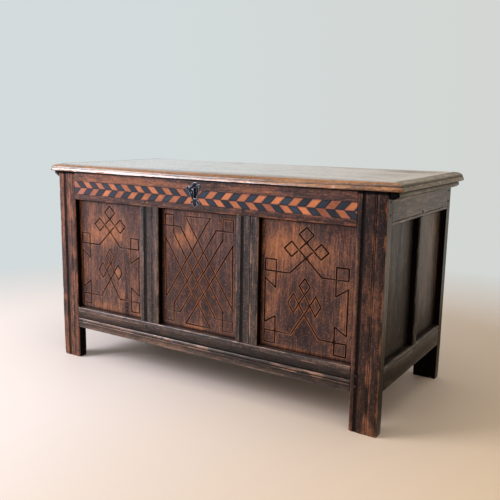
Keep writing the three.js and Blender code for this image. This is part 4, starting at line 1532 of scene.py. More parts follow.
    def build_walls(self, finishes: Finishes) -> list[Piece]:
        """Builds the rails, muntins and panels of all four walls.

        Args:
            finishes: The coffer's materials.

        Returns:
            The pieces.
        """
        made: list[Piece] = []
        inside = {run: finishes.oak(Finishes.INSIDE, run) for run in GrainRun}
        for number, wall in enumerate((self.front, self.back, self.right, self.left)):
            is_long = number < 2
            look = Finishes.FRAME if is_long else Finishes.SIDE
            run = GrainRun.ACROSS if is_long else GrainRun.INWARD
            low, high = wall.rows()
            span = (wall.span[0] + self.fit, wall.span[1] - self.fit)
            rear = self.inside_of(wall, wall.thick - 0.5)
            is_front = wall is self.front
            stops = [(sum(pair) / 2, wall.muntin / 2 + 6) for pair in wall.muntins()] + [(span[0], 14), (span[1], 14)]
            top = self.plain(high, wall.top_rail, wall.thick, (2.0, 0.8), bead=0 if is_long else 8.5, dark=(0.9, 0))
            bottom = (self.plinth(wall.rise, low, wall.thick) if is_front
                      else self.plain(wall.rise, wall.low_rail, wall.thick, (2.4, 2.0), dark=(0.6, 0.1),
                                      chamfer=0 if is_long else 8))
            for name, profile, seed in (("rail_top", top, 3), ("rail_bottom", bottom, 7)):
                board = Board(f"{wall.prefix}_{name}", profile, *span, wall.place, False, seed + 10 * number,
                              stops=stops, step=6, knocks=0.9, patches=RAIL_TONES.get(f"{wall.prefix}_{name}", ()))
                piece = board.build()
                if is_front and name == "rail_top":
                    cut_away(piece, self.lock_cutters())
                    # Painted shade under the lid's edge, and inside the keyhole, the lock's pocket and the inlay's
                    # housings.
                    paint_shade(piece, lambda at: at.z > TOP_EDGE_Z
                         or (at.z < 0.599 and (FRONT_Y + 1.2) * MM < at.y < (FRONT_Y + 16.5) * MM)
                         or (abs(at.x - LOCK_X * MM) < 0.006 and 0.56 < at.z < 0.5995))
                dress = Finishes.LOW if is_front and name == "rail_bottom" else look
                finish_piece(piece, board.name, "carcass", finishes.oak(dress, run), inside[run], rear)
                made.append(piece)
            for index, (left, right) in enumerate(wall.muntins()):
                marks = ((0.2, 0.4), (0.63, 0.71)) if index == 0 else ((0.2, 0.37), (0.63, 0.74))
                profile = (self.moulded(left, wall.muntin, wall.thick, *marks, rub=0.4) if is_front
                           else self.plain(left, wall.muntin, wall.thick))
                name = f"{wall.prefix}_muntin{wall.muntin_names[index]}"
                piece = Board(name, profile, low + self.fit, high - self.fit, wall.place, True,
                              20 + index + 10 * number, sway=-2.5 if is_front and index == 0 else 0,
                              patches=RAIL_TONES.get(name, ())).build()
                dress = finishes.oak(Finishes.LOW if is_front else look, GrainRun.UP)
                finish_piece(piece, name, "carcass", dress, inside[GrainRun.UP], rear)
                made.append(piece)
            for index, (left, right) in enumerate(wall.bays()):
                name = f"{wall.prefix}_panel_{wall.panel_names[index]}"
                carving, patches = PANEL_LOOKS.get(name, (None, ()))
                panel = Panel(name, left, right, low, high, wall.place, 40 + index + 10 * number,
                              carving() if carving else None, patches, spacing=6.5 if is_front else 9.0)
                piece = panel.build()
                dress = finishes.oak(Finishes.PANEL if is_long else Finishes.SIDE, GrainRun.UP)
                finish_piece(piece, name, "carcass", dress, inside[GrainRun.UP],
                             self.inside_of(wall, panel.depth + 4))
                made.append(piece)
        return made

    def lock_cutters(self) -> list[Piece]:
        """Blocks for the lock's pocket, the staple's slot, the keyhole and the band's two housings.

        Returns:
            The blocks.
        """
        place = self.front.place.world_outline

        def box(name: str, left: float, right: float, low: float, high: float, near: float, far: float
                ) -> Piece:
            """A block over a rectangle of the wall."""
            return prism(name, [(left, low), (right, low), (right, high), (left, high)], near, far, place)

        staple, top = LOCK_X + STAPLE_OFF, self.height
        made = [box("pocket", LOCK_X - 50, LOCK_X + 50, top - 66.3, top - 6.3, 16, 40),
                box("slot", staple - 3.3, staple + 3.3, top - 12, top + 6, 16, 40),
                prism("keyhole", Lock().keyhole(), -6, 40, place)]
        for name, (left, right) in zip(("band_left", "band_right"), InlayBand().spans()):
            made.append(box(name, left - 0.5, right + 0.5, 549.0, 591.0, -5, 2.3))
        return made

    def build_stiles(self, finishes: Finishes) -> list[Piece]:
        """Builds the four corner stiles, which run down as feet.

        Args:
            finishes: The coffer's materials.

        Returns:
            The pieces.
        """
        wide = self.width / 2
        left = self.moulded(-wide, self.front_left, 32, (0.29, 0.47), (0.69, 0.77), dark=(0.15, 0.95))
        right = self.moulded(wide - self.front_right, self.front_right, 32, (0.15, 0.29), (0.58, 0.67), 3.0,
                             dark=(0.95, 0.1))
        rear_left = self.plain(wide - self.rear, self.rear, 32, (2.2, 2.2), dark=(0.95, 0.15))
        rear_right = self.plain(-wide, self.rear, 32, (2.2, 2.2), dark=(0.15, 0.95))
        up = GrainRun.UP
        floor_end = (self.depth / 2 - self.stile_thick + self.shift + 1) * MM
        edge = (wide - 0.7) * MM
        made = []
        for name, wall, profile, finish, seed, foot in (
                ("front_stile_left", self.front, left, Finishes.FRAME, 61, 5.5),
                ("front_stile_right", self.front, right, Finishes.STILE_DARK, 62, 4.0),
                ("rear_stile_left", self.back, rear_left, Finishes.FRAME, 63, 3.5),
                ("rear_stile_right", self.back, rear_right, Finishes.SIDE, 64, 3.5)):
            piece = Board(name, profile, 0, self.height, wall.place, True, seed, round_low=2.6, foot=foot,
                          knocks=0.95, patches=RAIL_TONES.get(name, ())).build()
            # Painted shade on the stiles' tops under the lid, and on the rear feet's faces that look to the front.
            paint_shade(piece, lambda at: at.z > TOP_EDGE_Z or (0 < at.y < floor_end and (at.z < 0.113 or abs(at.x) > 0.544)))
            finish_piece(piece, name, "carcass", finishes.oak(finish, up),
                         finishes.oak(Finishes.INSIDE, up), self.stile_inside,
                         finishes.oak(Finishes.SIDE, up), lambda at: at.x > edge)
            made.append(piece)
        return made


# Soft patches of tone on the front and elsewhere, in (across, height, half width, half height, strength); some are
# painted shade and light, as marked.
RAIL_TONES: dict[str, Patches] = {
    "front_rail_top": [(-400, 600, 110, 10, 0.45), (-200, 601, 130, 12, 0.85), (-70, 600, 50, 9, 0.6),
                       (60, 604, 18, 14, -0.9), (170, 600, 110, 9, 0.7), (350, 600, 110, 11, 0.1),
                       (300, 607, 60, 5, -0.7), (440, 600, 50, 12, -0.2), (-380, 541, 110, 7, -0.3),
                       (-60, 540, 70, 7, 0.2), (80, 541, 160, 7, 0.1), (330, 541, 200, 9, -0.8)],
    "front_rail_bottom": [(-330, 150, 200, 30, 0.3), (200, 150, 300, 30, -0.5), (-100, 112, 400, 8, 0.5)],
    # The right end and its rear stile: painted shade low down and painted light on the top rail, as light falls from
    # above.
    "side_right_rail_bottom": [(-170, 132, 200, 36, -1.9), (120, 132, 220, 34, -1.3), (-225, 145, 80, 30, -1.2)],
    "side_right_rail_top": [(0, 580, 300, 60, 0.6)],
    "side_right_muntin": [(3, 220, 60, 140, -1.5)],
    "rear_stile_right": [(0, 170, 2000, 120, -0.8), (-562, 120, 60, 150, -1.1)],
    "front_muntin_left": [(-208, 350, 7, 130, 0.6), (-155, 375, 7, 95, 0.6), (-180, 520, 40, 40, -0.8),
                          (-175, 220, 25, 60, -0.6), (-180, 360, 60, 200, -0.35)],
    "front_muntin_right": [(172, 400, 14, 120, 0.2), (188, 330, 6, 150, 0.4), (140, 240, 14, 90, -0.6),
                           (165, 500, 40, 40, -0.4), (170, 330, 60, 200, -0.55)],
    "front_stile_left": [(-548, 470, 8, 130, 0.6), (-550, 200, 10, 14, 0.8), (-510, 400, 12, 160, 0.3),
                         (-530, 50, 60, 60, 0.6), (-530, 300, 5, 280, -0.5)],
    "front_stile_right": [(490, 330, 6, 260, 0.8), (497, 330, 5, 300, -0.9), (515, 520, 12, 60, 0.3),
                          (545, 200, 14, 200, 0.15), (540, 580, 30, 30, -0.7), (545, 15, 20, 14, 0.9),
                          (525, 520, 60, 90, -0.4), (525, 90, 60, 110, -0.3), (535, 320, 30, 90, 0.25),
                          (564, 480, 3, 160, 1.3), (559.5, 500, 4, 200, -0.6), (564, 140, 5, 150, -1.6)],
}

PANEL_LOOKS: dict[str, tuple[Callable[[], Carving] | None, Patches]] = {
    # The right end's panels: painted shade low down, and painted light high on the rear one.
    "side_right_panel_front": (None, [(-110, 190, 250, 110, -1.4), (-110, 340, 250, 110, -0.6),
                                      (-190, 400, 60, 200, -0.3), (-110, 500, 250, 60, -0.2)]),
    "side_right_panel_rear": (None, [(120, 190, 250, 80, -1.2), (120, 420, 200, 160, 0.9)]),
    # On the front panels, the dark patches just under the top rail are painted shade.
    "front_panel_left": (
        lambda: knot_panel(-357.2, 456.6, 309.4, (16.6, 24.8), 23.4, (-480, -447.2, -270.9, -238.1),
                           (-405, -314, -401.3, -319.2),
                           (423.8, 390.5, 367.5, 344.5, 267.7, 244.2, 223.1, 189.8), 0.85),
        [(-330, 440, 70, 40, 0.9), (-430, 420, 50, 40, 0.6), (-355, 340, 60, 60, -0.7), (-328, 310, 14, 24, 1.5),
         (-300, 240, 40, 30, 0.7), (-290, 205, 8, 60, -3.2), (-270, 330, 30, 60, -0.6), (-400, 190, 90, 14, 0.6),
         (-420, 250, 50, 40, -0.4), (-250, 500, 40, 40, -0.5), (-250, 190, 30, 16, 0.7)]),
    "front_panel_middle": (
        lattice_panel,
        [(-75, 440, 50, 40, 0.85), (-20, 450, 30, 24, 0.5), (60, 430, 50, 60, 0.15), (-10, 260, 120, 60, -0.5),
         (-20, 186, 70, 9, 1.3), (90, 510, 50, 24, -0.8), (-60, 505, 60, 14, -0.5), (100, 360, 22, 110, 0.2),
         (0, 350, 120, 60, -0.3), (-110, 400, 20, 70, -0.2), (0, 320, 200, 130, -0.5)]),
    "front_panel_right": (
        lambda: knot_panel(340.3, 453.8, 308, (16.4, 26.7), 22, (218, 251.7, 428.9, 463.1),
                           (292, 388.1, 300.9, 384.4),
                           (420, 387.5, 366.1, 343.1, 263.9, 242.8, 221.3, 187.5)),
        [(330, 455, 90, 50, 0.9), (240, 440, 30, 60, 0.6), (330, 320, 60, 70, -0.8), (330, 230, 60, 40, -0.9),
         (430, 510, 60, 28, -0.9), (320, 180, 120, 9, 1.1), (450, 300, 24, 70, 0.7), (420, 330, 30, 60, -0.5),
         (240, 300, 30, 60, 0.4), (225, 190, 30, 30, -0.7), (470, 190, 30, 30, -0.3), (340, 260, 160, 110, -0.3)]),
}


# ---------------------------------------------------------------------------------------------
# Inlay


@dataclass(frozen=True)
class InlayBand:
    """The chevron band in the top rail, in mm."""

    low: float = 549.3
    high: float = 590.7
    middles: Point2 = (570.8, 569.0)
    lean: float = 20.0
    thick: float = 2.0

    def spans(self) -> tuple[Point2, Point2]:
        """The two halves, one each side of the lock."""
        return (-491.7, -19.5), (4.5, 484.7)

    def rows(self) -> list[tuple[str, Point2, Point2, float, float, float, float]]:
        """Lays out the band's rows, the dark ones first.

        Returns:
            Name, span, heights, start of a dark tile on the midline, pitch, lean and darkness of each row.
        """
        left, right = self.spans()
        made = []
        for dark in (1.0, 0.0):
            for name, span, middle, above, below, pitch, lean in (
                    ("left", left, self.middles[0], -461.2, -434.4, 53.75, -self.lean),
                    ("right", right, self.middles[1], 423.0, 450.2, 53.1, self.lean)):
                skip = 0 if dark else pitch / 2
                made += [(f"{name}_upper", span, (middle, self.high), above + skip, pitch, lean, dark),
                         (f"{name}_lower", span, (self.low, middle), below + skip, pitch, -lean, dark)]
        return made

    def tree(self, finish: Material) -> Tree:
        """Geometry nodes that lay a row of slanting tiles.

        Args:
            finish: The tiles' wood.

        Returns:
            The tree.
        """
        levels = {"Pitch": 0.05, "Width": 0.025, "Height": 0.02, "Thickness": 0.002, "Lean": 0.02,
                  "Left": -1.0, "Right": 1.0}
        bench, get, made = new_group(
            f"tile_row_{finish.name}", "Geometry",
            [("Geometry", "Geometry", None), ("Count", "Int", 10), ("Start", "Vector", None),
             *((name, "Float", level) for name, level in levels.items()), ("Seed", "Int", 1)],
            [("Geometry", "Geometry")])
        line = bench.get("GeometryNodeMeshLine", {
            "Count": get["Count"], "Start Location": get["Start"], "Offset": bench.join(get["Pitch"])})
        block = bench.get("GeometryNodeMeshCube", {
            "Size": bench.join(get["Width"], get["Thickness"], get["Height"]),
            "Vertices X": 9, "Vertices Y": 2, "Vertices Z": 9})
        x, _, z = bench.split(bench.get("GeometryNodeInputPosition"))
        share = z / get["Height"]
        edge = bench.most(abs(x / get["Width"]), abs(share)) * 2.0
        edged = bench.get("GeometryNodeStoreNamedAttribute", {
            "Geometry": block, "Name": "tile_edge", "Value": edge}, data_type="FLOAT", domain="POINT")
        tile = bench.get("GeometryNodeSetPosition", {
            "Geometry": edged, "Offset": bench.join(share * get["Lean"])})
        uneven = bench.get("FunctionNodeRandomValue", {
            0: (0.94, 0.86, 0.94), 1: (0.975, 1.0, 0.98), "Seed": get["Seed"]}, data_type="FLOAT_VECTOR")
        laid = bench.get("GeometryNodeInstanceOnPoints", {"Points": line, "Instance": tile, "Scale": uneven})
        tint = bench.get("FunctionNodeRandomValue", {"Seed": get["Seed"] + 7}, 1, data_type="FLOAT")
        marked = bench.get("GeometryNodeStoreNamedAttribute", {
            "Geometry": laid, "Name": "tile_tone", "Value": tint}, data_type="FLOAT", domain="INSTANCE")
        real = bench.get("GeometryNodeRealizeInstances", {0: marked})
        x, y, z = bench.split(bench.get("GeometryNodeInputPosition"))
        kept = bench.math("MINIMUM", bench.most(x, get["Left"]), get["Right"])
        trimmed = bench.get("GeometryNodeSetPosition", {"Geometry": real, "Position": bench.join(kept, y, z)})
        bench.feed(made, {0: bench.get("GeometryNodeSetMaterial", {"Geometry": trimmed, "Material": finish})})
        return bench.tree

    def build(self, front: Wall, finishes: Finishes) -> list[Piece]:
        """Lays the band's eight rows and joins them into its two halves.

        Args:
            front: The front wall.
            finishes: The coffer's materials.

        Returns:
            The two halves.
        """
        trees = {1.0: self.tree(finishes.bog_oak), 0.0: self.tree(finishes.fruitwood)}
        face = front.place.at[1]
        halves: dict[str, list[tuple[bpy.types.Mesh, int]]] = {"left": [], "right": []}
        for number, (name, span, heights, start, pitch, lean, dark) in enumerate(self.rows()):
            tall, width = heights[1] - heights[0], pitch / 2
            middle = start + width / 2 + lean / 2 * (1 if name.endswith("upper") else -1)
            reach = (width + abs(lean)) / 2 - 2
            middle += pitch * math.ceil((span[0] - reach - middle) / pitch)
            count = math.floor((span[1] + reach - middle) / pitch) + 1
            holder = add_object(f"row_{number}", bpy.data.meshes.new(f"row_{number}"))
            spot = Vector((middle * MM, (face + self.thick / 2) * MM, (heights[0] + tall / 2) * MM))
            run_nodes(holder, trees[dark], {
                "Count": count, "Start": spot, "Pitch": pitch * MM, "Width": width * MM, "Height": tall * MM,
                "Thickness": self.thick * MM, "Lean": lean * MM, "Left": span[0] * MM, "Right": span[1] * MM,
                "Seed": 11 + number})
            halves[name.split("_")[0]].append((holder.data, 0 if dark else 1))
            bpy.data.objects.remove(holder)
        return [self.join(side, meshes, finishes) for side, meshes in halves.items()]

    def join(self, side: str, meshes: Sequence[tuple[bpy.types.Mesh, int]], finishes: Finishes) -> Piece:
        """Makes one piece of a half's rows.

        Args:
            side: Which half.
            meshes: The rows, and the number of their wood.
            finishes: The coffer's materials.

        Returns:
            The half.
        """
        work = bmesh.new()
        for mesh, wood in meshes:
            before = len(work.faces)
            work.from_mesh(mesh)
            work.faces.ensure_lookup_table()
            for face in work.faces[before:]:
                face.material_index = wood
        mesh = bpy.data.meshes.new(f"inlay_{side}")
        work.to_mesh(mesh)
        work.free()
        mesh.materials.append(finishes.bog_oak)
        mesh.materials.append(finishes.fruitwood)
        piece = add_object(f"inlay_{side}_tiles", mesh)
        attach(piece, "carcass")
        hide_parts(f"inlay_{side}")
        return piece


# ---------------------------------------------------------------------------------------------
# Lock, hinges, pegs and nails


@dataclass(frozen=True)
class Lock:
    """The escutcheon, in mm."""

    x: float = LOCK_X
    top: float = TOP_Z
    thick: float = 1.5
    gap: float = -0.3

    def keyhole(self) -> list[Point2]:
        """Draws the keyhole.

        Returns:
            Its outline.
        """
        high, head, slot = self.top - 22.3, 4.75, 3.75
        lean = math.asin(slot / head)
        angles = np.linspace(-math.pi / 2 + lean, 1.5 * math.pi - lean, 15)
        arc = [(self.x + head * math.cos(t), high - head + head * math.sin(t)) for t in angles]
        return [(self.x - slot, high - 31), (self.x + slot, high - 31), *arc]

    def piercings(self) -> list[np.ndarray]:
        """Draws the slits and eyes filed through the escutcheon.

        Returns:
            A loop for each.
        """
        made = []
        angles = np.linspace(0, 2 * math.pi, 11)[:-1]
        for x, z, half, wide, turn in (
                (-8.2, 593.3, 3.6, 1.1, 0.12), (-20.5, 597.6, 2.2, 1.2, -0.3), (-12.5, 584.5, 2.6, 0.9, 1.2),
                (6.5, 604.5, 1.6, 1.2, 0), (11.5, 600.5, 2.6, 1.0, 0.7), (-9.0, 553.0, 1.8, 1.3, 0.9),
                (6.6, 555.5, 2.6, 1.1, 1.35)):
            a, b = half * np.cos(angles), wide * np.sin(angles)
            made.append(np.stack([self.x + x + a * math.cos(turn) - b * math.sin(turn),
                                  z + a * math.sin(turn) + b * math.cos(turn)], axis=1))
        return made

    def outline(self) -> np.ndarray:
        """Sweeps the escutcheon's outline through points on its edge; its left ear droops.

        Returns:
            The outline.
        """
        knots = np.array([
            (0, 612), (5, 611.5), (8.5, 607.5), (12.5, 606.3), (16.5, 607), (18.6, 603), (15.2, 598.6),
            (13, 593), (13.8, 587), (11.5, 580), (8.3, 573), (6.5, 567), (9, 562.4), (13.6, 560.6),
            (16, 556), (13.6, 551.4), (9, 550.6), (6, 547), (2.4, 543), (0.4, 540.2), (-2, 543),
            (-5.6, 547), (-8.6, 549.6), (-13.2, 550.6), (-15, 555.2),
            (-12.6, 560), (-8.4, 561.8), (-10.6, 566), (-14.6, 571), (-18.4, 577.5), (-20.8, 585), (-24.4, 589.6),
            (-29.4, 590.2), (-32, 594), (-29.6, 599.6), (-24, 601.8), (-18, 600.4), (-13, 601.8),
            (-9.6, 605.6), (-6, 610.6)])
        made = []
        for a, b, c, d in zip(*(np.roll(knots, step, axis=0) for step in (1, 0, -1, -2))):
            for t in (0, 0.25, 0.5, 0.75):
                made.append(0.5 * (2 * b + (c - a) * t + (2 * a - 5 * b + 4 * c - d) * t ** 2
                                   + (3 * b - a - 3 * c + d) * t ** 3))
        return np.array(made) + (self.x, 0)

    def build(self, front: Wall, finishes: Finishes) -> Piece:
        """Makes the escutcheon: a thin forged plate with filed edges and engraved lines.

        Args:
            front: The front wall.
            finishes: The coffer's materials.

        Returns:
            The escutcheon.
        """
        edge = self.outline()
        holes = [np.array(self.keyhole()), *self.piercings()]
        loops = [edge, *holes]
        points = np.concatenate(loops)
        edges, base = [], 0
        for loop in loops:
            edges += [(base + i, base + (i + 1) % len(loop)) for i in range(len(loop))]
            base += len(loop)
        xs = np.arange(edge[:, 0].min(), edge[:, 0].max(), 1.3)
        zs = np.arange(edge[:, 1].min(), edge[:, 1].max(), 1.3)
        grid = np.array([(x, z) for x in xs for z in zs])
        keep = self.within(grid, edge) & np.all([~self.within(grid, h) for h in holes], axis=0)
        keep &= self.rim(grid, loops) > 0.5
        allpts = np.concatenate([points, grid[keep]])
        found, _, faces, *_ = delaunay_2d_cdt([Vector(p) for p in allpts], edges, [], 0, 1e-4)
        flat = np.array([tuple(v) for v in found])
        centres = np.array([flat[list(f)].mean(axis=0) for f in faces])
        inside = self.within(centres, edge) & np.all([~self.within(centres, h) for h in holes], axis=0)
        faces = [f for f, ok in zip(faces, inside) if ok]
        rim = self.rim(flat, loops)
        crown = np.clip(rim / 1.4, 0, 1) ** 0.5
        spot = np.stack([flat[:, 0], np.zeros(len(flat)), flat[:, 1]], axis=1)
        lift = self.thick * (0.45 + 0.5 * crown) - 0.14 * (1 + ripple(spot, 5, 3))
        lift -= 0.35 * np.clip(1 - np.abs(self.rim(flat, [edge]) - 2.6) / 0.6, 0, 1)
        rows, solid = slab(flat, faces, self.gap - lift, np.full(len(flat), self.gap))
        used = sorted({i for f in solid for i in f})
        renumber = {old: new for new, old in enumerate(used)}
        wear = np.concatenate([np.clip(1 - rim / 1.6, 0, 1), np.zeros(len(flat))])[used]
        piece = close_mesh("escutcheon_iron", front.place.world(rows)[used],
                           [[renumber[i] for i in f] for f in solid], {"wear": wear}, crease=40)
        finish_piece(piece, "escutcheon", "carcass", finishes.lock_iron)
        return piece

    @staticmethod
    def within(points: np.ndarray, loop: np.ndarray) -> np.ndarray:
        """Which points lie inside a loop.

        Args:
            points: The points.
            loop: The loop.

        Returns:
            Yes or no for each point.
        """
        inside = np.zeros(len(points), bool)
        for a, b in zip(loop, np.roll(loop, -1, axis=0)):
            crosses = (a[1] > points[:, 1]) != (b[1] > points[:, 1])
            at = (b[0] - a[0]) * (points[:, 1] - a[1]) / (b[1] - a[1] + 1e-12) + a[0]
            inside ^= crosses & (points[:, 0] < at)
        return inside

    @staticmethod
    def rim(points: np.ndarray, loops: Sequence[np.ndarray]) -> np.ndarray:
        """How far points lie from the nearest of some loops."""
        return np.min([distance(points, loop, np.roll(loop, -1, axis=0)) for loop in loops], axis=0)


@dataclass(frozen=True)
class Studs:
    """Small heads set on points: oak pegs or forged nails."""

    name: str
    radius: float
    tall: float
    tip: float
    sides: int
    finish: Material
    seed: int

    def tree(self) -> Tree:
        """Geometry nodes that set a head on each point, turned to face out.

        Returns:
            The tree.
        """
        bench, get, made = new_group(
            f"{self.name}_heads", "Geometry",
            [("Geometry", "Geometry", None), *((name, "Float", None) for name in ("Radius", "Tall", "Tip")),
             ("Sides", "Int", None), ("Seed", "Int", None)], [("Geometry", "Geometry")])
        head = bench.get("GeometryNodeMeshCone", {
            "Vertices": get["Sides"], "Radius Top": get["Tip"], "Radius Bottom": get["Radius"],
            "Depth": get["Tall"]}, fill_type="NGON")
        out = bench.get("GeometryNodeInputNamedAttribute", {"Name": "out"}, data_type="FLOAT_VECTOR")
        aimed = bench.get("FunctionNodeAlignRotationToVector", {"Vector": out}, axis="Z")
        spin = bench.get("FunctionNodeRandomValue", {
            0: (-0.12, -0.12, 0), 1: (0.12, 0.12, 6.28), "Seed": get["Seed"]}, data_type="FLOAT_VECTOR")
        turned = bench.get("FunctionNodeRotateRotation", {
            "Rotation": aimed, "Rotate By": bench.get("FunctionNodeEulerToRotation", {0: spin})},
            rotation_space="LOCAL")
        grow = bench.get("FunctionNodeRandomValue", {
            0: (0.82, 0.85, 0.8), 1: (1.1, 1.12, 1.05), "Seed": get["Seed"] + 3}, data_type="FLOAT_VECTOR")
        laid = bench.get("GeometryNodeInstanceOnPoints", {
            "Points": get["Geometry"], "Instance": head, "Rotation": turned, "Scale": grow})
        real = bench.get("GeometryNodeRealizeInstances", {0: laid})
        bench.feed(made, {0: bench.get("GeometryNodeSetMaterial", {"Geometry": real, "Material": self.finish})})
        return bench.tree

    def build(self, spots: Spots, body: str, slot: str) -> Piece:
        """Sets a head at each spot.

        Args:
            spots: Place in mm, and the direction that it faces, of each head.
            body: The body that they ride on.
            slot: A material slot's name; not used.

        Returns:
            The heads as one piece.
        """
        mesh = bpy.data.meshes.new(self.name)
        mesh.from_pydata([tuple(c * MM for c in at) for at, _ in spots], [], [])
        facing = mesh.attributes.new("out", "FLOAT_VECTOR", "POINT")
        for item, (_, out) in zip(facing.data, spots):
            item.vector = out
        piece = add_object(self.name, mesh)
        run_nodes(piece, self.tree(), {"Radius": self.radius * MM, "Tall": self.tall * MM, "Tip": self.tip * MM,
                                       "Sides": self.sides, "Seed": self.seed})
        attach(piece, body)
        return piece


def peg_spots(carcass: Carcass) -> Spots:
    """Two pegs through each tenon, a little proud of the wood.

    Args:
        carcass: The carcass.

    Returns:
        Place and facing of each peg.
    """
    spots = []
    for number, wall in enumerate((carcass.front, carcass.back, carcass.right, carcass.left)):
        low, high = wall.rows()
        rails = [(wall.rise, low), (high, wall.height)]
        marks = []
        for side, (edge, inward) in enumerate(((wall.span[0], -1), (wall.span[1], 1))):
            for bottom, top in rails:
                reach = 15 if number < 2 else 11
                for share in (0.3, 0.68):
                    wob = 2.2 * math.sin(7.1 * (number + 3 * side) + 31 * share + top)
                    marks.append((edge + inward * (reach + 0.6 * wob), bottom + share * (top - bottom) + wob))
        for left, right in wall.muntins():
            for height in (low - 13, high + 13):
                for share in ((0.3, 0.7) if wall.muntin > 40 else (0.42, 0.66)):
                    marks.append((left + share * (right - left), height + 1.3 * math.sin(share * 40 + height)))
        out = wall.place.out()
        for across, height in marks:
            if number == 0 and 549 - 5 < height < 596:
                continue
            at = wall.place.world(np.array([[across, 0.6, height]]))[0] / MM
            spots.append((at, (out[0], out[1], 0)))
    return spots


# ---------------------------------------------------------------------------------------------
# The lid


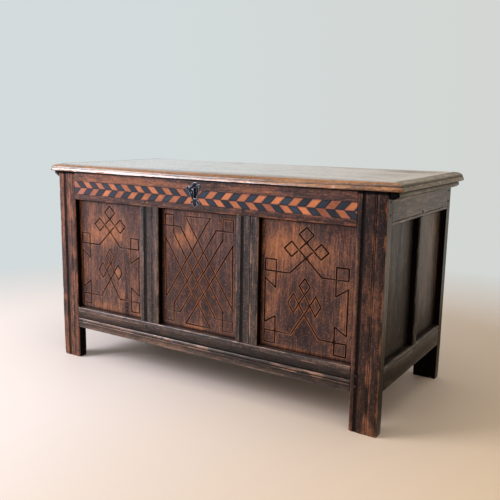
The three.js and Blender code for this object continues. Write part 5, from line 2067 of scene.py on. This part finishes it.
@dataclass
class Lid:
    """The moulded lid plank and its two cleats, in mm."""

    under: float = TOP_Z + 0.3
    thick: float = 23.0
    side: float = 599.5
    front: float = -270.15
    rear: float = 255.85
    rear_rise: float = 3.0
    undercut: float = 10.0
    tip: float = 4.0
    nose: float = 12.0
    lip: float = 3.6
    step: float = 1.0
    inset: float = 26.0
    along: int = 170
    deep: int = 70
    worn: float = 36.0
    round: float = 9.0
    sag_reach: float = 46.0
    cleat: float = 23.0
    strap_reach: float = 193.0
    strap_end: float = 12.3
    strap_neck: float = 7.8
    strap_wide: float = 17.3
    strap_flare: float = 34.3
    strap_deep: float = 3.3
    staple: Point2 = (20.3, 11.3)
    staple_deep: float = 2.6

    def edge_rows(self) -> list[tuple[float, float, float, float, float]]:
        """Draws the moulding from the underside up.

        Returns:
            Inset, height, wear, dirt and painted shade, and give of each row.
        """
        rows = [(self.undercut + 8, 0.0, 0.0, 0.0, 0.0), (self.undercut + 5, 0.0, 0.0, 0.3, 0.0)]
        # Under the nose the undercut darkens towards the underside: painted shade.
        for i in range(9):
            angle = math.pi / 2 * i / 8
            rows.append((self.undercut * (1 - math.sin(angle)), self.tip * (1 - math.cos(angle)),
                         0.5 * math.sin(angle) ** 3, 0.5 * math.cos(angle) ** 3, 0.15 + 0.85 * math.sin(angle) ** 2))
        for share in (0.15, 0.3, 0.45, 0.6, 0.75, 0.9, 1.0):
            rows.append((self.lip * share ** 1.6, self.tip + (self.nose - self.tip) * share, 0.75, 0, 1 - 0.6 * share))
        low, back = self.nose + self.step, self.lip + self.step
        # The step and the foot of the crown are darkened, which dulls their highlight: painted shade.
        rows += [(self.lip + 0.5, self.nose - 0.1, 0, 0.7, 0.02), (back, self.nose, 0, 0.7, 0.02),
                 (back + 0.2, low, 0.2, 0.4, 0.05)]
        for i in range(1, 13):
            angle = math.pi / 2 * i / 12
            rows.append((self.inset - (self.inset - back) * math.cos(angle), low + (self.thick - low) * math.sin(angle),
                         0.8 * math.sin(2 * angle) ** 2 + 0.1, 0.3 * math.cos(angle) ** 3,
                         0.25 + 0.5 * math.sin(2 * angle)))
        return rows + [(self.inset + 1.0, self.thick - 1.0, 0, 0.9, 0.02),
                       (self.inset + 2.0, self.thick - 0.1, 0.4, 0.1, 0.1),
                       (self.inset + 3.6, self.thick, 0.5, 0, 0.3), (self.inset + 6.5, self.thick, 0, 0, 0.1)]

    def ring(self, inset: float) -> np.ndarray:
        """Goes round the plank.

        Args:
            inset: How far inside its front and ends.

        Returns:
            Places in order.
        """
        left, right, near = -self.side + inset, self.side - inset, self.front + inset
        return np.array(round_grid(np.linspace(left, right, self.along + 1),
                                   np.linspace(near, self.rear, self.deep + 1)))

    def drop(self, xy: np.ndarray, share: np.ndarray) -> np.ndarray:
        """How far the worn, cupped top lies below the CAD's flat one.

        Args:
            xy: Places on the plank.
            share: How much of it each place takes.

        Returns:
            The drop at each place.
        """
        across = 1 - (xy[:, 0] / self.side) ** 2
        deep = (xy[:, 1] - (self.front + self.rear) / 2) / ((self.rear - self.front) / 2)
        spot = np.stack([xy[:, 0] * 0.35, xy[:, 1], np.zeros(len(xy))], axis=1)
        waves = 0.5 + 0.5 * ripple(spot, 70, 8)
        return share * (1.4 * across + 1.1 * (1 - deep ** 2) * (0.4 + 0.6 * across) + 0.5 * waves)

    def build(self, finishes: Finishes) -> Piece:
        """Makes the plank, housed underneath for the straps and the staple.

        Args:
            finishes: The coffer's materials.

        Returns:
            The plank.
        """
        rows = self.edge_rows()
        size = 2 * (self.along + self.deep)
        spots, masks = [], []
        for inset, height, wear, grime, give in rows:
            ring = self.ring(inset)
            spots.append(np.column_stack([ring, np.full(size, height)]))
            masks.append(np.tile((wear, grime, give), (size, 1)))
        rings = np.concatenate(spots)
        mask = np.concatenate(masks)
        inner_x = np.linspace(-self.side + rows[-1][0], self.side - rows[-1][0], self.along + 1)[1:-1]
        inner_y = np.linspace(self.front + rows[-1][0], self.rear, self.deep + 1)[1:-1]
        grid = np.array([(x, y, self.thick) for y in inner_y for x in inner_x])
        points = np.concatenate([rings, grid])
        mask = np.concatenate([mask, np.tile((0.0, 0.0, 0.0), (len(grid), 1))])
        share = np.clip(points[:, 2] / self.thick, 0, 1)
        rear_share = np.clip((points[:, 1] - self.front) / (self.rear - self.front), 0, 1)
        z = points[:, 2] + self.rear_rise * rear_share * share
        z -= self.drop(points[:, :2], share ** 1.5)
        sag = np.interp(points[:, 0], *zip(*LID_SAG)) * np.clip(1 - (points[:, 1] - self.front) / self.sag_reach, 0, 1)
        z = np.maximum(z - sag, np.minimum(z, 0.15))
        noise_at = np.column_stack([points[:, 0], points[:, 1], points[:, 2] * 2.5])
        slow = 0.5 + 0.5 * ripple(noise_at, 55, 21)
        quick = 0.5 + 0.5 * ripple(noise_at, 9, 22)
        nick = np.maximum(0, ripple(noise_at, 13, 23) - 0.42) * 2.6
        bite = mask[:, 2] * (0.5 * slow + 0.45 * quick + 1.3 * nick)
        x, y = points[:, 0].copy(), points[:, 1].copy()
        end = np.clip((np.abs(x) - (self.side - self.worn)) / self.worn, 0, 1)
        near = np.clip(((self.front + self.worn) - y) / self.worn, 0, 1)
        at_rear = points[:, 1] > self.rear - 1
        x -= np.sign(x) * np.where(end > 0, bite * end / np.maximum(end + near, 1e-6) + 0.1, 0)
        y += np.where((near > 0) & ~at_rear, bite * near / np.maximum(end + near, 1e-6) + 0.1, 0)
        z -= np.where(points[:, 2] > 8, bite * 0.35, 0)
        radius = self.round
        u, v = np.abs(x) - (self.side - radius), (self.front + radius) - y
        corner = (u > 0) & (v > 0)
        shrink = np.where(corner, np.maximum(u, v) / np.maximum(np.hypot(u, v), 1e-6), 1)
        x = np.where(corner, np.sign(x) * (self.side - radius + u * shrink), x)
        y = np.where(corner, self.front + radius - v * shrink, y)
        faces = [list(range(size)), *ring_faces(len(rows), size),
                 *self.top_faces(size * (len(rows) - 1), len(rings))]
        level = np.clip(mask[:, 0] * (0.4 + 0.8 * quick + 0.5 * nick), 0, 1)
        tone = blobs(x, y, LID_TONES)
        places = np.column_stack([x, y, z + self.under]) * MM
        piece = close_mesh("lid_plank_oak", places, faces, {
            "wear": level, "grime": mask[:, 1], "tone": tone, "board": np.full(len(x), 5.2)}, crease=34)
        cut_away(piece, self.housings())

        def beneath(at: Vector, across: float, front: float) -> bool:
            """Whether a place lies under the plank, behind its moulding."""
            return at.z < (self.under + 4) * MM and abs(at.x) < across and at.y > front

        for vertex in piece.data.vertices:
            if beneath(vertex.co, 0.5846, -0.2553):
                for name in ("wear", "grime", "tone"):
                    piece.data.attributes[name].data[vertex.index].value = 0.0
        finish_piece(piece, "lid_plank", "lid", finishes.oak(Finishes.LID, GrainRun.ACROSS),
                     finishes.oak(Finishes.INSIDE, GrainRun.ACROSS),
                     lambda middle: beneath(middle, 0.58, -0.254))
        piece.data.materials.append(finishes.oak(Finishes.END, GrainRun.INWARD))
        for face in piece.data.polygons:
            end = self.side - abs(face.center.x) / MM
            if face.material_index == 0 and end < min(self.inset + 6, face.center.y / MM - self.front):
                face.material_index = 2
        return piece

    def top_faces(self, ring: int, grid: int) -> Faces:
        """The faces between the last ring and the grid inside it.

        Args:
            ring: The last ring's first vertex.
            grid: The grid's first vertex.

        Returns:
            The faces.
        """
        wide, deep = self.along, self.deep
        turn = ring + np.arange(2 * (wide + deep))
        at = np.empty((deep + 1, wide + 1), int)
        at[1:-1, 1:-1] = grid + np.arange((deep - 1) * (wide - 1)).reshape(deep - 1, wide - 1)
        at[0, :wide], at[:deep, wide] = turn[:wide], turn[wide:wide + deep]
        at[deep, :0:-1], at[:0:-1, 0] = turn[wide + deep:2 * wide + deep], turn[2 * wide + deep:]
        return [(at[j, i], at[j, i + 1], at[j + 1, i + 1], at[j + 1, i]) for i in range(wide) for j in range(deep)]

    def housings(self) -> list[Piece]:
        """Blocks for the strap hinges' and the staple's housings in the underside.

        Returns:
            The blocks.
        """

        def block(name: str, ring: Sequence[Point2], deep: float) -> Piece:
            """A block that reaches into the underside."""
            return prism(name, ring, self.under - 5, self.under + deep, lambda rows: rows * MM)

        def plate(name: str, x: float, half: float, low: float, high: float, deep: float) -> Piece:
            """A straight block about a middle."""
            return block(name, [(x - half, low), (x + half, low), (x + half, high), (x - half, high)], deep)

        made = []
        tip, flare, deep = HINGE_Y - self.strap_reach, HINGE_Y - self.strap_flare, self.strap_deep
        for x in HINGE_XS:
            ring = [(x + self.strap_end * math.cos(t), tip + self.strap_end * math.sin(t))
                    for t in np.linspace(0, 2 * math.pi, 25)[:-1]]
            made += [plate("neck", x, self.strap_neck, tip, flare + 1, deep),
                     plate("wide", x, self.strap_wide, flare, HINGE_Y + 5, deep), block("round", ring, deep)]
        y, (wide, tall) = FRONT_Y + 23, self.staple
        return [*made, plate("staple", LOCK_X + STAPLE_OFF, wide, y - tall, y + tall, self.staple_deep)]

    def build_cleats(self, carcass: Carcass, finishes: Finishes) -> list[Piece]:
        """Makes the two cleats under the plank's ends.

        Args:
            carcass: The carcass.
            finishes: The coffer's materials.

        Returns:
            The cleats.
        """
        made = []
        outer = -1.5 - self.cleat
        for wall, name, seed in ((carcass.right, "lid_cleat_right", 91), (carcass.left, "lid_cleat_left", 92)):
            is_right = wall is carcass.right
            wide, rise = (13.0, 7.0) if is_right else (19.0, 11.0)
            profile = Profile()
            # The cleat is darkened where it meets the plank and the side wall: painted shade.
            for height, depth, wear, grime in (
                    (0, -1.5, 0, 0.9), (0, outer + 3, 0, 0.9), (-6, outer, 0.5, 0), (-18 + rise, outer, 0.7, 0),
                    (-18 + rise * 0.45, outer + wide * 0.42, 0.3, 0), (-18, outer + wide, 0.4, 0.3),
                    (-18, -1.5, 0, 0.8)):
                profile.to(TOP_Z + height, depth, wear, grime, 0.5 if wear else 0)
            ends = (-257.0, 254.0) if is_right else (-254.0, 257.0)
            piece = Board(name, profile, *ends, wall.place, False, seed, round_low=1.5, round_high=1.5,
                          knocks=0.8).build()
            if is_right:
                # Painted shade on its front end, under the lid's nose.
                paint_shade(piece, lambda at: at.y < -0.2572)
            look = Finishes.END if is_right else Finishes.FRAME
            finish_piece(piece, name, "lid", finishes.oak(look, GrainRun.INWARD))
            made.append(piece)
        return made


# How far the lid's front edge sags, as (across, drop), and its soft patches of tone.
LID_SAG: Sequence[Point2] = [
    (-600, 2.5), (-470, 3.2), (-360, 3.4), (-260, 4.6), (-190, 5.8), (-20, 5.7), (130, 5.2), (270, 5.6),
    (380, 3.6), (480, 1.5), (600, 0.3)]
# The patches at the rear right and at the nose's right end darken the top where its sheen falls off: painted shade.
LID_TONES: Patches = [
    (-200, -240, 300, 40, 0.25), (300, -250, 300, 30, 0.6), (480, 0, 90, 200, -0.35), (0, 40, 400, 120, 0.1),
    (520, -262, 60, 12, -0.3), (-400, 100, 140, 80, 0.2), (-180, 215, 26, 12, -1.4), (250, -80, 20, 8, -0.8),
    (470, 190, 130, 70, -0.9), (200, 230, 140, 30, -0.5)]


# ---------------------------------------------------------------------------------------------
# What the frame already has, and the studio


def dress_nodes(finishes: Finishes) -> None:
    """Gives the carried-over CAD nodes their finishes.

    Args:
        finishes: The coffer's materials.
    """
    for name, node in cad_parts.items():
        if node.hide_render:
            continue
        if name.startswith("floor_board"):
            finish = finishes.oak(Finishes.INSIDE, GrainRun.INWARD)
        elif name.startswith(("hinge", "lock", "lid_staple", "escutcheon")):
            finish = finishes.iron
        else:
            finish = finishes.oak(Finishes.FRAME, GrainRun.UP)
        for place in node.material_slots:
            place.material = finish
        log.info("dressed node %s", name)


@dataclass(frozen=True)
class Studio:
    """The camera at the photograph's angle, a pale floor and soft light."""

    eye: tuple[float, float, float] = (1.11625, -1.7407, 0.7558)
    yaw: float = -0.5654
    pitch: float = 0.1785
    roll: float = 0.0163
    lens: float = 47.33
    wall: str = "d3dbdc"
    wall_right: str = "d3d4cf"
    shaded_ground: str = "e9c999"
    aim: float = 0.3

    def camera(self) -> Piece:
        """Sets the camera.

        Returns:
            The camera.
        """
        forward = Vector((math.sin(self.yaw) * math.cos(self.pitch), math.cos(self.yaw) * math.cos(self.pitch),
                          -math.sin(self.pitch)))
        right = Vector((math.cos(self.yaw), -math.sin(self.yaw), 0))
        up = right.cross(forward)
        across = right * math.cos(self.roll) + up * math.sin(self.roll)
        above = up * math.cos(self.roll) - right * math.sin(self.roll)
        data = bpy.data.cameras.new("camera")
        data.lens, data.sensor_width, data.clip_start = self.lens, 36, 0.01
        camera = add_object("camera", data)
        turn = Matrix((across, above, -forward)).transposed().to_4x4()
        camera.matrix_world = Matrix.Translation(self.eye) @ turn
        bpy.context.scene.camera = camera
        return camera

    def lamp(self, name: str, at: Sequence[float], size: float, power: float, colour: str = "ffffff") -> None:
        """Adds a soft lamp that looks at the coffer.

        Args:
            name: Its name.
            at: Where it stands.
            size: Its side.
            power: Its power in watts.
            colour: Its colour.
        """
        data = bpy.data.lights.new(name, "AREA")
        data.shape, data.size, data.energy = "SQUARE", size, power
        data.color = shade(colour)[:3]
        turn = (Vector((0, 0, self.aim)) - Vector(at)).to_track_quat("-Z", "Y")
        add_object(name, data).matrix_world = Matrix.Translation(at) @ turn.to_matrix().to_4x4()

    def sky(self) -> None:
        """Sets the world: plain light, and the wall's pale colour where it is seen."""
        world = bpy.data.worlds.new("studio")
        world.use_nodes = True
        bpy.context.scene.world = world
        world.node_tree.nodes.clear()
        bench = Bench(world.node_tree)
        rays = bench.add("ShaderNodeLightPath")
        camera, glossy, through = bench.outputs(rays, "Is Camera Ray", "Is Glossy Ray", "Is Transmission Ray")
        light = bench.get("ShaderNodeBackground", {"Color": shade("ece9ea"), "Strength": 0.4})
        x, y, z = bench.split(bench.get("ShaderNodeTexCoord", None, "Generated"))
        behind = y.span(-0.35, 0.45, 0.1, 1.0) * x.span(-0.66, 0.3, 1.3, 0.69) * z.span(0.35, 0.75, 1.0, 0.25)
        high = z.span(0.05, 0.35, 0.1, 4.6) * x.span(-0.78, -0.3, 1.0, 0.06) * y.span(-0.2, 0.25, 1.0, 0.05)
        mirrored = bench.most(behind, high, x.span(-0.78, -0.46, 0.75, 0.1)) * (1.0 - camera)
        paint = bench.mix(x.span(-0.7, 0.0), shade(self.wall), shade(self.wall_right))
        tint = bench.mix(x.span(-0.6, -0.2), shade(self.wall), shade("d6c9b8"))
        backdrop = bench.get("ShaderNodeBackground", {
            "Color": bench.mix(camera, tint, paint), "Strength": bench.most(mirrored, camera)})
        seen = bench.most(camera, glossy, through)
        bench.add("ShaderNodeOutputWorld", {0: bench.get("ShaderNodeMixShader", {0: seen, 1: light, 2: backdrop})})

    def floor(self) -> Piece:
        """Lays a floor that fades into the backdrop far from the coffer.

        Returns:
            The floor.
        """
        mesh = bpy.data.meshes.new("floor")
        mesh.from_pydata([(-30, -30, 0), (30, -30, 0), (30, 30, 0), (-30, 30, 0)], [], [(0, 1, 2, 3)])
        floor = add_object("floor", mesh)
        material, bench, shader, place = new_material("pale_floor")
        across = bench.split(place)[0]
        # Painted shadow: the floor turns darker and warmer towards the coffer's right.
        light = bench.mix(across.span(-0.2, 1.3), shade("f5ece3"), shade(self.shaded_ground))
        bench.feed(shader, {"Roughness": 0.6, "Base Color": light})
        rays = bench.add("ShaderNodeLightPath")
        camera, glossy = bench.outputs(rays, "Is Camera Ray", "Is Glossy Ray")
        fade = bench.vector("LENGTH", place, output="Value").span(1.05, 2.0) * bench.most(camera, glossy)
        sight = bench.vector("NORMALIZE", bench.vector("SUBTRACT", place, self.eye))
        turn = bench.split(sight)[0]
        paint = bench.mix(turn.span(-0.7, 0.0), shade(self.wall), shade(self.wall_right))
        # Painted reflection: far off, the floor glows for reflected rays only.
        mirrored = bench.mix(across.span(-1.6, 0.6), shade("dde2f4"), shade("d8d1c8"))
        sheen = bench.most(across.span(-2.0, -0.2, 1.7, 0.6), across.span(0.3, 1.2, 0, 1.0))
        glow = bench.get("ShaderNodeEmission", {
            "Color": bench.mix(glossy, paint, mirrored), "Strength": bench.most(camera, glossy * sheen)})
        both = bench.get("ShaderNodeMixShader", {0: fade, 1: shader.outputs[0], 2: glow})
        bench.feed(material.node_tree.nodes["Material Output"], {0: both})
        mesh.materials.append(material)
        return floor

    def build(self) -> None:
        """Sets up the whole studio."""
        self.camera()
        self.sky()
        self.floor()
        self.lamp("window", (-2.2, -2.1, 2.0), 1.6, 96, "f8f4ff")
        self.lamp("ceiling", (0.3, -0.4, 3.2), 2.6, 34, "fff8f0")
        self.lamp("fill", (2.6, -1.8, 1.7), 2.0, 8, "ffe8d0")
        bpy.context.scene.view_settings.view_transform = "Standard"


def nail_spots() -> tuple[Spots, Spots]:
    """Where the lid's and the carcass's iron nails sit.

    Returns:
        Spots on the lid, and spots on the carcass.
    """
    on_lid = [((x + 1.2 * math.sin(reach), HINGE_Y - reach, 620.8), (0, 0, -1))
              for x in HINGE_XS for reach in (24, 62, 108, 152, 193)]
    on_carcass = [((x, BACK_Y + 3.4, 618.1 - drop), (0, 1, 0)) for x in HINGE_XS for drop in (26, 46, 63)]
    on_carcass += [((LOCK_X + dx, FRONT_Y + 32.4, TOP_Z + dz), (0, 1, 0)) for dz in (-8, -66) for dx in (-52, 52)]
    on_carcass += [((LOCK_X + dx, FRONT_Y - 1.7, z), (0, -1, 0)) for dx, z in (
        (-27.5, 595.5), (-12, 588.5), (15.3, 603), (-1.2, 549.5), (11.4, 556))]
    return on_lid, on_carcass


def main() -> None:
    """Builds and dresses the coffer, piece by piece."""
    logging.basicConfig(level=logging.INFO, format="%(message)s")
    for extra in [o for o in bpy.context.scene.objects if o.type in {"CAMERA", "LIGHT"}]:
        bpy.data.objects.remove(extra)
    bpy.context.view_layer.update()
    Studio().build()
    finishes = Finishes()
    carcass, lid = Carcass(), Lid()
    pieces = carcass.build_stiles(finishes) + carcass.build_walls(finishes)
    pieces += InlayBand().build(carcass.front, finishes)
    pieces.append(Lock().build(carcass.front, finishes))
    pieces.append(lid.build(finishes))
    pieces += lid.build_cleats(carcass, finishes)
    pegs = Studs("oak_pegs", 3.4, 1.6, 3.0, 9, finishes.oak(Finishes.STILE_DARK, GrainRun.UP), 5)
    pieces.append(pegs.build(peg_spots(carcass), "carcass", "oak_frame"))
    on_lid, on_carcass = nail_spots()
    nails = Studs("nails_of_hinges", 3.6, 1.3, 1.1, 6, finishes.iron, 8)
    pieces.append(nails.build(on_lid, "lid", "wrought_iron"))
    nails = Studs("nails_of_carcass", 2.4, 1.2, 0.8, 6, finishes.iron, 9)
    pieces.append(nails.build(on_carcass, "carcass", "wrought_iron"))
    for piece in pieces:
        log.info("built %s, %d faces", piece.name, len(piece.data.polygons))
    dress_nodes(finishes)


if __name__ == "__main__":
    main()
